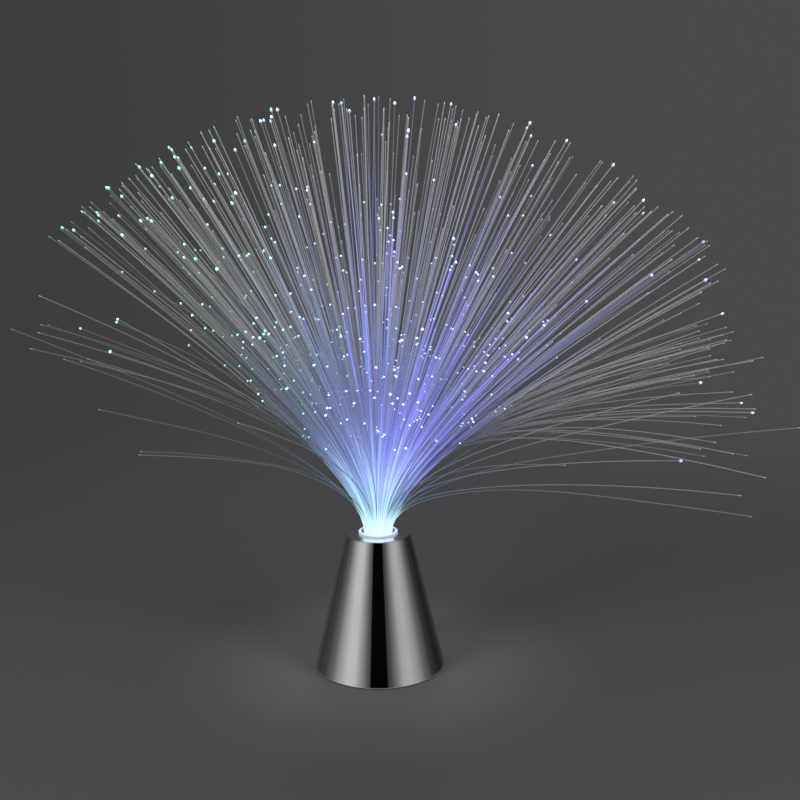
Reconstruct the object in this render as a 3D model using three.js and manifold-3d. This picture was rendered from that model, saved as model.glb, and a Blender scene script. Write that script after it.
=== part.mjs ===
// A battery-powered fibre optic table lamp, in millimetres, +Z up.
// A mirror-bright conical shell stands on four rubber feet. Its base plate carries a box for three
// AAA cells, a hinged battery door and a slide switch. A flanged collar through the shell's crown
// grips a potted bundle of clear fibres, and a lamp holder under the collar shines one LED into them.
// The origin is on the table, on the shell's axis. The front of the lamp faces -Y.
import * as THREE from "three";
import { mergeVertices, mergeGeometries } from "three/addons/utils/BufferGeometryUtils.js";
import Module from "manifold-3d";

const wasm = await Module();
wasm.setup();

// Clearances
const seatGap = 0.3; // between a piece and what it sits on or in
const overrun = 1; // how far a cutter runs past the face that it cuts

// Dry cells, size AAA, lying side by side along X
const cellRadius = 5.25;
const cellLength = 43.5; // the can alone
const nubRadius = 1.9;
const nubHeight = 1;
const cellShoulder = 0.8;
const cellGap = 0.4; // between neighbours, and to the bay's walls

// Contacts: one sheet strip at each end of the bay, with a dimple for a nub or a spring for a can
const contactThickness = 0.4;
const contactWidth = 8;
const contactHeight = 8.4;
const tailWidth = 2.4;
const tailRise = 2.6; // solder tail above the box
const dimpleRadius = 1.5;
const dimpleHeight = 0.6;
const springHeight = 3.4;
const springFootRadius = 3.2;
const springTipRadius = 1.7;
const springWireRadius = 0.3;
const springTurns = 2.25;

// Battery box and door, moulded with and hinged to the base plate
const boxWall = 1.2;
const boxCornerRadius = 1.5;
const cellRest = 0.6; // cells above the door's inner face
const roofRibWidth = 1.2;
const roofRibDepth = 2;
const doorThickness = 1.6;
const doorLap = 0.6; // door past the bay on each side
const doorGap = 0.35;
const doorRibWidth = 1.2;
const doorRibHeight = 1.8;
const doorRibInset = 4; // door rib's ends from the bay's ends
const hingeTabSpacing = 28;
const hingeTabWidth = 5;
const hingeTabLength = 1.6;
const hingeTabThickness = 0.8;
const latchWidth = 10;
const latchLength = 3;
const latchThickness = 1;
const latchSlitWidth = 0.8;
const latchSlitLength = 5;
const scoopMargin = 2; // finger scoop past the latch on each side
const scoopReach = 3.6; // finger scoop past the latch's tip
const scoopDepth = 1.8;

// Base plate
const plateLift = 1.2; // underside above the table
const plateThickness = 3;
const footRadius = 3.6;
const footSink = 0.6;
const footChamfer = 0.5;
const footMargin = 1; // from the door's recess to a foot
const gussetThickness = 1.2;
const gussetHeight = 6;
const gussetReach = 4;

// Screws that hold the plate to the shell's bosses
const screwHeadRadius = 2.5;
const screwHeadHeight = 1.6;
const screwShankRadius = 1.2;
const screwLength = 12;
const screwShare = 0.8; // screw to the Y axis, of half the battery box's length
const screwTopShare = 0.7; // a pan head's flat face, of its radius
const bossRadius = 3.2;
const bossRibThickness = 1.4;

// Slide switch
const switchLength = 12.7;
const switchWidth = 6.6;
const switchHeight = 5.5;
const switchSheet = 0.5;
const switchRoom = 0.8; // from the battery box to the switch
const switchTravel = 2.5;
const switchBoardThickness = 1.2;
const switchPinWidth = 1.5;
const switchPinThickness = 0.7;
const switchPinRise = 3.5;
const switchPinPitch = 3;
const knobLength = 3.2;
const knobWidth = 3.4;
const knobDrop = 0.4; // knob below the plate's underside
const knobGap = 0.3;
const sliderLength = 6.4;
const sliderHeight = 2;
const switchRecessMargin = 1.5;
const switchRecessDepth = 1.3;
const cradleThickness = 1.2;
const cradleHeight = 4.5;

// Shell
const shellHeight = 82.4;
const crownRadius = 19.3;
const shellWall = 2;
const crownThickness = 2.2;
const crownRound = 0.7;
const rimLift = 0.8; // rim above the table
const rimRound = 0.5;
const boxRoom = 1.64; // from the battery box's corners to the shell's inside

// Fibres: they stand on circles round the bundle's middle, six more on each circle than on the one
// inside it. Each starts straight up out of the potted bundle and bends outwards to its tip.
const rings = [
  { name: "fibres_core", lastCircle: 5 },
  { name: "fibres_inner", lastCircle: 7 },
  { name: "fibres_middle", lastCircle: 9 },
  { name: "fibres_outer", lastCircle: 10 },
];
const fibresPerStep = 6;
const fibreThickness = 0.45;
const fibrePitch = 0.71; // between one circle and the next
const fibreRise = 46; // height of the bend's control point above the root
const fibreReach = 251.5; // from the bundle's top to a full-length tip
const sprayAngle = 48; // degrees from upright, at the bundle's edge
const sprayLean = 4; // degrees more towards +X, and less towards -X
const fullShare = 0.55; // of the fibres have their full length
const shortestShare = 0.45; // of its curve, for the shortest fibre
const tuftCount = 11; // tufts round the spray
const tuftShare = 0.5; // how far fibres gather into a tuft, 0 to 1
const wanderShare = 0.3; // how far a tip strays towards its neighbours, of their spacing
const bundleDepth = 24.4; // potted length

// Where a strand's facets meet along its curve: fewest in the middle, where it hardly bends
const middleBendShares = [0, 0.2, 1];
const bendShares = [0, 0.12, 0.33, 1];
const edgeBendShares = [0, 0.12, 0.33, 0.62, 1];
const middleCircles = 3;

// Fibres that lean out of the spray, as [azimuth, angle from upright] in degrees. Each of the first
// four reaches as far to its side as the others do to theirs.
const farStrays = [[-22, 71], [172, 61], [-92, 63], [85, 66]];
const strayReach = 216; // to each side
// The others, as [azimuth, angle from upright, length as a share of the full one]
const strayShares = [
  [-14, 84, 0.85],
  [-30, 77, 0.86],
  [-7, 68, 0.91],
  [3, 62, 0.94],
  [-40, 69, 0.82],
  [150, 59, 0.9],
  [186, 58, 0.82],
  [200, 66, 0.6],
  [212, 60, 0.76],
  [20, 60, 0.95],
  [40, 66, 0.86],
  [63, 61, 0.92],
  [112, 64, 0.9],
  [132, 68, 0.82],
  [232, 64, 0.78],
  [251, 60, 0.85],
  [296, 66, 0.83],
  [314, 61, 0.91],
];

// Collar, nut and lamp holder
const collarWall = 1.15;
const flangeLip = 1.8; // flange past the tube
const flangeThickness = 1.2;
const flangeRound = 0.5;
const mouthDepth = 1.6; // the collar's mouth opens as a cone, and the potting ends at its foot
const tubeOverhang = 1.5; // tube below the bundle's polished end
const nutWidth = 3.4;
const nutThickness = 4;
const nutLobes = 12;
const nutLobeDepth = 0.8;
const holderWall = 1.4;
const socketDepth = 8;
const chamberHeight = 9.5;
const chamberFloor = 2;

// LED and its board
const ledFlangeRadius = 2.9;
const ledFlangeHeight = 1;
const ledRadius = 2.5;
const ledHeight = 8.6;
const ledLeadWidth = 0.5;
const ledLeadSpacing = 2.54;
const leadTail = 1.6; // leads below the board
const boardThickness = 1.6;
const boardInset = 0.4; // board's edge inside the holder's
const boardHoleRadius = 0.55;
const boardScrewShankRadius = 0.8;
const boardScrewHeadRadius = 1.7;
const boardScrewHeadHeight = 1.2;
const boardScrewLength = 5;
const boardScrewEdge = 0.6; // screw head to the board's edge
const chipLength = 5;
const chipWidth = 4;
const chipHeight = 1.5;
const chipLegWidth = 0.5;
const chipLegReach = 1;
const chipLegPitch = 1.27;
const chipShare = 0.4; // chip's centre behind the board's centre, of the board's radius
const resistorRadius = 0.95;
const resistorLength = 3.6;
const resistorLeadWidth = 0.5;
const resistorShare = 0.45; // resistor's centre in front of the board's centre, of its radius

// Hook-up wires
const wireRadius = 0.55;
const wireRoom = 2.2; // wire above the solder tails
const wireBow = 5; // how far a wire swings out on its way up
const padShare = 0.62; // solder pads from the board's centre, of its radius
const padAngle = 30; // solder pads behind the X axis, in degrees

// Facets
const shellFacets = 48;
const roundFacets = 24;
const cellFacets = 18;
const smallFacets = 12;
const wireSides = 5;
const stepsPerTurn = 8;

function radians(degrees) {
  return (degrees * Math.PI) / 180;
}

// A three.js geometry as a solid that can be cut and joined.
function solidOf(geometry) {
  const bare = geometry.index ? geometry.toNonIndexed() : geometry.clone();
  bare.deleteAttribute("normal");
  bare.deleteAttribute("uv");
  const merged = mergeVertices(bare, 1e-4);
  const make = (triVerts) => {
    const vertProperties = new Float32Array(merged.attributes.position.array);
    const mesh = new wasm.Mesh({ numProp: 3, vertProperties, triVerts });
    mesh.merge();
    return new wasm.Manifold(mesh);
  };
  const index = new Uint32Array(merged.index.array);
  const solid = make(index);
  return solid.volume() > 0 ? solid : make(index.reverse());
}

// A solid as a three.js geometry.
function geometryOf(solid) {
  const { numProp, numVert, vertProperties, triVerts } = solid.getMesh();
  const points = new Float32Array(numVert * 3);
  for (let i = 0; i < numVert; i++) points.set(vertProperties.subarray(i * numProp, i * numProp + 3), i * 3);
  const geometry = new THREE.BufferGeometry();
  geometry.setAttribute("position", new THREE.BufferAttribute(points, 3));
  geometry.setIndex(new THREE.BufferAttribute(new Uint32Array(triVerts), 1));
  geometry.computeVertexNormals();
  return geometry;
}

// A profile of [radius, height] points turned about the Z axis.
function turned(profile, facets = roundFacets) {
  const points = profile.map(([radius, height]) => new THREE.Vector2(radius, height));
  return solidOf(new THREE.LatheGeometry(points, facets).rotateX(Math.PI / 2));
}

function cylinder(radius, bottom, top, facets = roundFacets) {
  return turned([[0, bottom], [radius, bottom], [radius, top], [0, top]], facets);
}

// A block between two corners, given as ranges along X, Y and Z.
function block([x0, x1], [y0, y1], [z0, z1]) {
  const geometry = new THREE.BoxGeometry(x1 - x0, y1 - y0, z1 - z0);
  return solidOf(geometry.translate((x0 + x1) / 2, (y0 + y1) / 2, (z0 + z1) / 2));
}

// A block centred on the Z axis whose upright edges are rounded.
function roundedBlock(length, width, radius, bottom, top) {
  const shape = new THREE.Shape();
  const x = length / 2 - radius;
  const y = width / 2 - radius;
  shape.absarc(x, y, radius, 0, Math.PI / 2);
  shape.absarc(-x, y, radius, Math.PI / 2, Math.PI);
  shape.absarc(-x, -y, radius, Math.PI, 1.5 * Math.PI);
  shape.absarc(x, -y, radius, 1.5 * Math.PI, 2 * Math.PI);
  return extruded(shape, bottom, top, 3);
}

function extruded(shape, bottom, top, curveSegments = 6) {
  const geometry = new THREE.ExtrudeGeometry(shape, {
    depth: top - bottom,
    bevelEnabled: false,
    curveSegments,
  });
  return solidOf(geometry.translate(0, 0, bottom));
}

// A wire of a few flat sides along a smooth curve through points.
function wireAlong(points, radius, steps) {
  const corner = (i) => {
    const turn = (2 * Math.PI * i) / wireSides;
    return new THREE.Vector2(radius * Math.cos(turn), radius * Math.sin(turn));
  };
  const section = new THREE.Shape(Array.from({ length: wireSides }, (_, i) => corner(i)));
  const path = new THREE.CatmullRomCurve3(points, false, "centripetal");
  return solidOf(new THREE.ExtrudeGeometry(section, { steps, bevelEnabled: false, extrudePath: path }));
}

function at(solid, x, y, z = 0) {
  return solid.translate([x, y, z]);
}

function onZ(solid, degrees) {
  return solid.rotate([0, 0, degrees]);
}

function joined(solids) {
  return solids.reduce((whole, piece) => whole.add(piece));
}

const lamp = new THREE.Group();

function add(name, solid, { color, roughness = 0.5, metalness = 0, opacity = 1 }) {
  const look = { color, roughness, metalness, opacity, transparent: opacity < 1 };
  const material = new THREE.MeshStandardMaterial(look);
  const mesh = new THREE.Mesh(geometryOf(solid), material);
  mesh.name = name;
  lamp.add(mesh);
}

const chrome = { color: 0x9a9a9c, roughness: 0.12, metalness: 1 };
const blackPlastic = { color: 0x161617, roughness: 0.45 };
const rubber = { color: 0x242424, roughness: 0.9 };
const steel = { color: 0xb8b8b4, roughness: 0.35, metalness: 1 };
const frosted = { color: 0xe8f2ff, roughness: 0.3, opacity: 0.8 };
const clearFibre = { color: 0xc9d6f2, roughness: 0.15, opacity: 0.5 };
const whitePlastic = { color: 0xdfe2e4, roughness: 0.5 };
const greenBoard = { color: 0x1f5a37, roughness: 0.6 };
const cellWrap = { color: 0x2c4a6e, roughness: 0.35, metalness: 0.6 };

// Sizes that follow from the driving ones, from the table upwards
const bayLength = cellLength + nubHeight + springHeight + dimpleHeight + 2 * contactThickness + 4 * seatGap;
const cellPitch = 2 * cellRadius + cellGap;
const lanes = [-1, 0, 1].map((lane) => lane * cellPitch);
const bayWidth = lanes.length * cellPitch + cellGap;
const boxLength = bayLength + 2 * boxWall;
const boxWidth = bayWidth + 2 * boxWall;
const doorLength = bayLength + 2 * doorLap;
const doorWidth = bayWidth + 2 * doorLap;
const doorTop = plateLift + doorThickness;
const recessTop = doorTop + seatGap;
const plateTop = plateLift + plateThickness;
const cellAxis = doorTop + cellRest + cellRadius;
const bayTop = cellAxis + cellRadius + cellGap;
const boxTop = bayTop + boxWall;

// The rim is as wide as the battery box's top corners need under the sloping wall.
const boxTopShare = (boxTop - rimLift) / (shellHeight - rimLift);
const boxCorner = Math.hypot(boxLength, boxWidth) / 2;
const rimRadius = (boxCorner + boxRoom + shellWall - crownRadius * boxTopShare) / (1 - boxTopShare);

const screwX = (screwShare * boxLength) / 2;
const screwY = boxWidth / 2 + seatGap + bossRadius;
const footCircle = doorLength / 2 + doorGap + footMargin + footRadius;
const tailX = bayLength / 2 - seatGap - contactThickness / 2;
const switchCentreY = boxWidth / 2 + switchRoom + switchWidth / 2;
const corners = [[1, 1], [-1, 1], [-1, -1], [1, -1]];

const lastCircle = rings[rings.length - 1].lastCircle;
const bundleRadius = circleRadius(lastCircle) + fibrePitch / 2;
const boreRadius = bundleRadius + seatGap;
const tubeRadius = boreRadius + collarWall;
const crownHoleRadius = tubeRadius + seatGap;
const flangeTop = shellHeight + flangeThickness;
const crownUnder = shellHeight - crownThickness;
const bundleTop = flangeTop - mouthDepth;
const bundleBottom = bundleTop - bundleDepth;
const tubeBottom = bundleBottom - tubeOverhang;
const socketLedge = tubeBottom - seatGap;
const holderRadius = tubeRadius + seatGap + holderWall;
const holderBottom = socketLedge - chamberHeight - chamberFloor;
const boardTop = holderBottom - seatGap;
const boardBottom = boardTop - boardThickness;
const boardRadius = holderRadius - boardInset;
const boardScrewCircle = boardRadius - boardScrewEdge - boardScrewHeadRadius;

// Each node's circles stand one seat gap farther out than those of the node inside it.
function circleRadius(circle) {
  return circle * fibrePitch + ringOf(circle) * seatGap;
}

function ringOf(circle) {
  return rings.findIndex((ring) => circle <= ring.lastCircle);
}

function outerRadius(z) {
  return rimRadius + ((crownRadius - rimRadius) * (z - rimLift)) / (shellHeight - rimLift);
}

function innerRadius(z) {
  return outerRadius(z) - shellWall;
}

// Conical shell: a chromed moulding with a flat crown, and four bosses inside for the plate's screws
function baseShell() {
  const profile = new THREE.Path();
  profile.moveTo(outerRadius(rimLift + rimRound), rimLift + rimRound);
  profile.lineTo(outerRadius(shellHeight - crownRound), shellHeight - crownRound);
  profile.quadraticCurveTo(crownRadius, shellHeight, crownRadius - crownRound, shellHeight);
  profile.lineTo(crownHoleRadius, shellHeight);
  profile.lineTo(crownHoleRadius, crownUnder);
  profile.lineTo(innerRadius(crownUnder), crownUnder);
  profile.lineTo(innerRadius(rimLift), rimLift);
  profile.lineTo(rimRadius - rimRound, rimLift);
  profile.quadraticCurveTo(rimRadius, rimLift, outerRadius(rimLift + rimRound), rimLift + rimRound);
  const wall = turned(profile.getPoints(2).map((p) => [p.x, p.y]), shellFacets);
  const envelope = turned(
    [[0, rimLift], [rimRadius, rimLift], [crownRadius, shellHeight], [0, shellHeight]],
    shellFacets,
  );
  const bossBottom = plateTop + seatGap;
  const bossTop = bossBottom + screwLength + bossRadius;
  const circle = Math.hypot(screwX, screwY);
  const boss = cylinder(bossRadius, bossBottom, bossTop, smallFacets);
  const ribSides = [-bossRibThickness / 2, bossRibThickness / 2];
  const rib = block([0, rimRadius - circle], ribSides, [bossBottom, bossTop]);
  const pilotRadius = screwShankRadius + seatGap;
  const pilot = cylinder(pilotRadius, bossBottom - overrun, bossBottom + screwLength, smallFacets);
  const bosses = corners.map(([sx, sy]) => {
    const turn = (Math.atan2(sy * screwY, sx * screwX) * 180) / Math.PI;
    return onZ(at(boss.add(rib), circle, 0), turn);
  });
  const pilots = corners.map(([sx, sy]) => at(pilot, sx * screwX, sy * screwY));
  return wall.add(joined(bosses).intersect(envelope.scale([0.99, 0.99, 1]))).subtract(joined(pilots));
}

// Base plate: a disc that fills the shell's mouth, with the battery box standing on it
function basePlate() {
  const disc = turned(
    [
      [0, plateLift],
      [innerRadius(plateLift) - seatGap, plateLift],
      [innerRadius(plateTop) - seatGap, plateTop],
      [0, plateTop],
    ],
    shellFacets,
  );
  const box = roundedBlock(boxLength, boxWidth, boxCornerRadius, plateTop - overrun, boxTop);
  const bay = block(
    [-bayLength / 2, bayLength / 2],
    [-bayWidth / 2, bayWidth / 2],
    [plateLift - overrun, bayTop],
  );
  const recess = roundedBlock(
    doorLength + 2 * doorGap,
    doorWidth + 2 * doorGap,
    boxCornerRadius,
    plateLift - overrun,
    recessTop,
  );
  const roofRibs = [-1, 1].map((side) =>
    block(
      [-cellLength / 2, cellLength / 2],
      [(side * cellPitch - roofRibWidth) / 2, (side * cellPitch + roofRibWidth) / 2],
      [bayTop - roofRibDepth, bayTop + boxWall / 2],
    ),
  );
  const gussets = [-1, 1].map((side) => {
    const x = (side * hingeTabSpacing) / 2;
    return block(
      [x - gussetThickness / 2, x + gussetThickness / 2],
      [-boxWidth / 2 - gussetReach, boxWidth / 2 + gussetReach],
      [plateTop - overrun, plateTop + gussetHeight],
    );
  });
  const whole = joined([disc, box, ...gussets, ...switchCradle()]);
  const openings = [recess, latchScoop(), switchOpening(), ...hingePockets(), ...tailSlots()];
  const seats = [...screwHoles(), ...footSeats()];
  return whole.subtract(bay).add(joined(roofRibs)).subtract(joined([...openings, ...seats]));
}

function hingePockets() {
  const pocketTop = plateLift + Math.hypot(hingeTabLength, doorThickness) + seatGap;
  const pocketBottom = doorTop - hingeTabThickness - seatGap;
  return [-1, 1].map((side) => {
    const x = (side * hingeTabSpacing) / 2;
    const half = hingeTabWidth / 2 + seatGap;
    return block(
      [x - half, x + half],
      [doorWidth / 2 - hingeTabLength, doorWidth / 2 + hingeTabLength + doorGap],
      [pocketBottom, pocketTop],
    );
  });
}

function latchScoop() {
  const half = latchWidth / 2 + scoopMargin;
  const front = -doorWidth / 2 - latchLength - scoopReach;
  return block([-half, half], [front, -doorWidth / 2], [plateLift - overrun, plateLift + scoopDepth]);
}

function switchOpening() {
  const length = knobLength + switchTravel + 2 * knobGap;
  const width = knobWidth + 2 * knobGap;
  const slot = roundedBlock(length, width, knobGap, plateLift, plateTop + overrun);
  const dish = roundedBlock(
    length + 2 * switchRecessMargin,
    width + 2 * switchRecessMargin,
    switchRecessMargin,
    plateLift - overrun,
    plateLift + switchRecessDepth,
  );
  return at(slot.add(dish), 0, switchCentreY);
}

function switchCradle() {
  return [-1, 1].map((side) => {
    const inner = switchLength / 2 + seatGap;
    const range = side > 0 ? [inner, inner + cradleThickness] : [-inner - cradleThickness, -inner];
    const depth = [switchCentreY - switchWidth / 2, switchCentreY + switchWidth / 2];
    return block(range, depth, [plateTop - overrun, plateTop + cradleHeight]);
  });
}

function tailSlots() {
  const half = contactThickness / 2 + seatGap;
  const across = [-tailWidth / 2 - seatGap, tailWidth / 2 + seatGap];
  const slot = block([-half, half], across, [bayTop - overrun, boxTop + overrun]);
  return Object.values(strips)
    .filter((strip) => strip.tail)
    .map(({ end, first }) => at(slot, end * tailX, lanes[first]));
}

function screwHoles() {
  const clear = cylinder(screwShankRadius + seatGap, plateLift - overrun, plateTop + overrun, smallFacets);
  const headSeat = plateLift + screwHeadHeight + 2 * seatGap;
  const counterbore = cylinder(screwHeadRadius + seatGap, plateLift - overrun, headSeat, cellFacets);
  return corners.map(([sx, sy]) => at(clear.add(counterbore), sx * screwX, sy * screwY));
}

function footSeats() {
  const seatTop = plateLift + footSink + seatGap;
  const seat = cylinder(footRadius + seatGap, plateLift - overrun, seatTop, cellFacets);
  return corners.map((_, i) => onZ(at(seat, footCircle, 0), 90 * i));
}

// Battery door: two hinge tabs at the back, and a sprung latch tongue at the front
function batteryDoor() {
  const leaf = roundedBlock(doorLength, doorWidth, boxCornerRadius, plateLift, doorTop);
  const tabs = [-1, 1].map((side) => {
    const x = (side * hingeTabSpacing) / 2;
    return block(
      [x - hingeTabWidth / 2, x + hingeTabWidth / 2],
      [doorWidth / 2 - boxWall, doorWidth / 2 + hingeTabLength],
      [doorTop - hingeTabThickness, doorTop],
    );
  });
  const ribs = [-1, 1].map((side) => {
    const y = (side * cellPitch) / 2;
    return block(
      [-bayLength / 2 + doorRibInset, bayLength / 2 - doorRibInset],
      [y - doorRibWidth / 2, y + doorRibWidth / 2],
      [doorTop - doorThickness / 2, doorTop + doorRibHeight],
    );
  });
  const tongue = block(
    [-latchWidth / 2, latchWidth / 2],
    [-doorWidth / 2 - latchLength, -doorWidth / 2 + boxWall],
    [plateLift, plateLift + latchThickness],
  );
  const slits = [-1, 1].map((side) => {
    const x = (side * (latchWidth + latchSlitWidth)) / 2;
    return block(
      [x - latchSlitWidth / 2, x + latchSlitWidth / 2],
      [-doorWidth / 2 - overrun, -doorWidth / 2 + latchSlitLength],
      [plateLift - overrun, doorTop + overrun],
    );
  });
  return joined([leaf, ...tabs, ...ribs, tongue]).subtract(joined(slits));
}

// One dry cell, its nub towards +X or -X
function dryCell(direction) {
  const can = turned([
    [0, 0],
    [cellRadius - cellShoulder, 0],
    [cellRadius, cellShoulder / 2],
    [cellRadius, cellLength - cellShoulder],
    [cellRadius - cellShoulder, cellLength],
    [nubRadius, cellLength],
    [nubRadius, cellLength + nubHeight],
    [0, cellLength + nubHeight],
  ]);
  const along = at(can, 0, 0, -cellLength / 2 - canOffset()).rotate([0, 90 * direction, 0]);
  return along;
}

// The can's middle, from the bay's middle towards its nub
function canOffset() {
  return (dimpleHeight + nubHeight - springHeight) / 2;
}

// Contact strips: the end of the bay they stand at, the lanes they cover, and whether they have a
// solder tail. The nubs of lanes 0 and 2 point to -X and that of lane 1 to +X, so the strips put the
// three cells in series.
const strips = {
  contact_positive: { end: -1, first: 0, last: 0, tail: true },
  contact_link_right: { end: 1, first: 0, last: 1, tail: false },
  contact_link_left: { end: -1, first: 1, last: 2, tail: false },
  contact_negative: { end: 1, first: 2, last: 2, tail: true },
};

function nubEnd(lane) {
  return lane % 2 ? 1 : -1;
}

// A contact strip with its dimple and spring, one riveted piece on the real product
function contactStrip({ end, first, last, tail }) {
  const face = bayLength / 2 - seatGap - contactThickness;
  const bottom = cellAxis - contactHeight / 2;
  const top = cellAxis + contactHeight / 2;
  const width = [lanes[first] - contactWidth / 2, lanes[last] + contactWidth / 2];
  const pieces = [block([face, face + contactThickness], width, [bottom, top])];
  if (tail) {
    const across = [lanes[first] - tailWidth / 2, lanes[first] + tailWidth / 2];
    pieces.push(block([face, face + contactThickness], across, [top - overrun, boxTop + tailRise]));
  }
  for (let lane = first; lane <= last; lane++) {
    const stud = nubEnd(lane) === end ? contactDimple() : contactSpring();
    pieces.push(stud.rotate([0, -90, 0]).translate([face, lanes[lane], cellAxis]));
  }
  const strip = joined(pieces);
  return end > 0 ? strip : strip.mirror([1, 0, 0]);
}

function contactDimple() {
  return turned(
    [
      [0, -contactThickness / 2],
      [dimpleRadius, -contactThickness / 2],
      [dimpleRadius, 0],
      [dimpleRadius / 2, dimpleHeight],
      [0, dimpleHeight],
    ],
    smallFacets,
  );
}

// The middle of a conical coil that stands on Z = 0, from its foot to its tip
function springLine(steps) {
  const height = springHeight - 2 * springWireRadius;
  return Array.from({ length: steps + 1 }, (_, i) => {
    const share = i / steps;
    const radius = springFootRadius + (springTipRadius - springFootRadius) * share;
    const angle = 2 * Math.PI * springTurns * share;
    const z = springWireRadius + height * share;
    return new THREE.Vector3(radius * Math.cos(angle), radius * Math.sin(angle), z);
  });
}

// A contact spring: one unbroken wire whose lower end is soldered into the strip
function contactSpring() {
  const steps = Math.round(springTurns * stepsPerTurn);
  const points = springLine(steps);
  points.unshift(new THREE.Vector3(springFootRadius, -2 * springWireRadius, -contactThickness / 2));
  return wireAlong(points, springWireRadius, steps);
}

// The least clear space between one turn of the spring and another, measured on points
function springSpace() {
  const points = springLine(springTurns * stepsPerTurn * 8);
  const halfTurn = points.length / springTurns / 2;
  let least = Infinity;
  for (let i = 0; i < points.length; i++) {
    for (let j = i + Math.round(halfTurn); j < points.length; j++) {
      least = Math.min(least, points[i].distanceTo(points[j]) - 2 * springWireRadius);
    }
  }
  return least;
}
console.log("least gap between a contact spring's turns, mm: " + springSpace().toFixed(2));

// Foot: a rubber pad that sits in the plate and holds the shell's rim clear of the table
function foot(index) {
  const pad = turned([
    [0, 0],
    [footRadius - footChamfer, 0],
    [footRadius, footChamfer],
    [footRadius, plateLift + footSink],
    [0, plateLift + footSink],
  ]);
  return onZ(at(pad, footCircle, 0), 90 * index);
}

// A pan-head self-tapping screw that points up, its head's underside at a height
function screw(seat, { headRadius, headHeight, shankRadius, length }) {
  const profile = [
    [0, seat - headHeight],
    [headRadius * screwTopShare, seat - headHeight],
    [headRadius, seat - headHeight / 2],
    [headRadius, seat],
    [shankRadius, seat],
    [shankRadius, seat + length - 2 * shankRadius],
    [0, seat + length],
  ];
  return turned(profile, smallFacets);
}

// Slide switch: a folded sheet frame, a board with three pins, and the knob on its slider
const frameBottom = plateTop + seatGap;
const frameTop = frameBottom + switchHeight;
const knobRestX = -switchTravel / 2;

function switchFrame() {
  const shell = block(
    [-switchLength / 2, switchLength / 2],
    [-switchWidth / 2, switchWidth / 2],
    [frameBottom, frameTop],
  );
  const hollow = block(
    [-switchLength / 2 + switchSheet, switchLength / 2 - switchSheet],
    [-switchWidth / 2 + switchSheet, switchWidth / 2 - switchSheet],
    [frameBottom + switchSheet, frameTop + overrun],
  );
  const length = knobLength + switchTravel + 2 * knobGap;
  const width = knobWidth + 2 * knobGap;
  const slot = block([-length / 2, length / 2], [-width / 2, width / 2], [frameBottom - overrun, frameTop]);
  return at(shell.subtract(hollow).subtract(slot), 0, switchCentreY);
}

function switchBoard() {
  const bottom = frameTop + seatGap;
  const top = bottom + switchBoardThickness;
  const length = [-switchLength / 2, switchLength / 2];
  const board = block(length, [-switchWidth / 2, switchWidth / 2], [bottom, top]);
  const pins = [-1, 0, 1].map((i) =>
    block(
      [i * switchPinPitch - switchPinWidth / 2, i * switchPinPitch + switchPinWidth / 2],
      [-switchPinThickness / 2, switchPinThickness / 2],
      [bottom + switchBoardThickness / 2, top + switchPinRise],
    ),
  );
  return at(joined([board, ...pins]), 0, switchCentreY);
}

function switchKnob() {
  const sliderBottom = frameBottom + switchSheet + knobGap;
  const sliderWidth = switchWidth - 2 * switchSheet - 2 * knobGap;
  const sliderTop = sliderBottom + sliderHeight;
  const stem = roundedBlock(knobLength, knobWidth, knobGap, plateLift - knobDrop, sliderTop);
  const slider = block(
    [-sliderLength / 2, sliderLength / 2],
    [-sliderWidth / 2, sliderWidth / 2],
    [sliderBottom, sliderTop],
  );
  return at(stem.add(slider), knobRestX, switchCentreY);
}

// Collar: a flanged tube dropped into the crown's hole and glued round the bundle, with a flared mouth
function bundleCollar() {
  const flangeRadius = tubeRadius + flangeLip;
  const profile = new THREE.Path();
  profile.moveTo(boreRadius, tubeBottom);
  profile.lineTo(tubeRadius, tubeBottom);
  profile.lineTo(tubeRadius, shellHeight);
  profile.lineTo(flangeRadius, shellHeight);
  profile.lineTo(flangeRadius, flangeTop - flangeRound);
  profile.quadraticCurveTo(flangeRadius, flangeTop, flangeRadius - flangeRound, flangeTop);
  profile.lineTo(tubeRadius, flangeTop);
  profile.lineTo(boreRadius, bundleTop);
  profile.lineTo(boreRadius, tubeBottom);
  return turned(profile.getPoints(2).map((p) => [p.x, p.y]));
}

// Ring nut with finger lobes, tightened on the collar from inside the shell
function collarNut() {
  const outer = tubeRadius + seatGap + nutWidth;
  const steps = nutLobes * 4;
  const shape = new THREE.Shape();
  for (let i = 0; i < steps; i++) {
    const angle = (2 * Math.PI * i) / steps;
    const radius = outer - (nutLobeDepth * (1 - Math.cos(nutLobes * angle))) / 2;
    shape[i ? "lineTo" : "moveTo"](radius * Math.cos(angle), radius * Math.sin(angle));
  }
  shape.holes.push(new THREE.Path().absarc(0, 0, tubeRadius + seatGap, 0, 2 * Math.PI));
  const top = crownUnder - seatGap;
  return extruded(shape, top - nutThickness, top, roundFacets / 2);
}

// Lamp holder: a white cup that slides over the collar's tube, with a reflector cone round the LED
function ledHolder() {
  const socketRadius = tubeRadius + seatGap;
  const chamberBottom = holderBottom + chamberFloor;
  const cup = turned([
    [ledFlangeRadius + seatGap, holderBottom],
    [holderRadius, holderBottom],
    [holderRadius, tubeBottom + socketDepth],
    [socketRadius, tubeBottom + socketDepth],
    [socketRadius, socketLedge],
    [bundleRadius, socketLedge],
    [ledFlangeRadius + seatGap, chamberBottom],
    [ledFlangeRadius + seatGap, holderBottom],
  ]);
  const pilotTop = boardBottom + boardScrewLength;
  const pilot = cylinder(boardScrewShankRadius + seatGap, holderBottom - overrun, pilotTop, smallFacets);
  return cup.subtract(joined([-1, 1].map((side) => at(pilot, side * boardScrewCircle, 0))));
}

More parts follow.
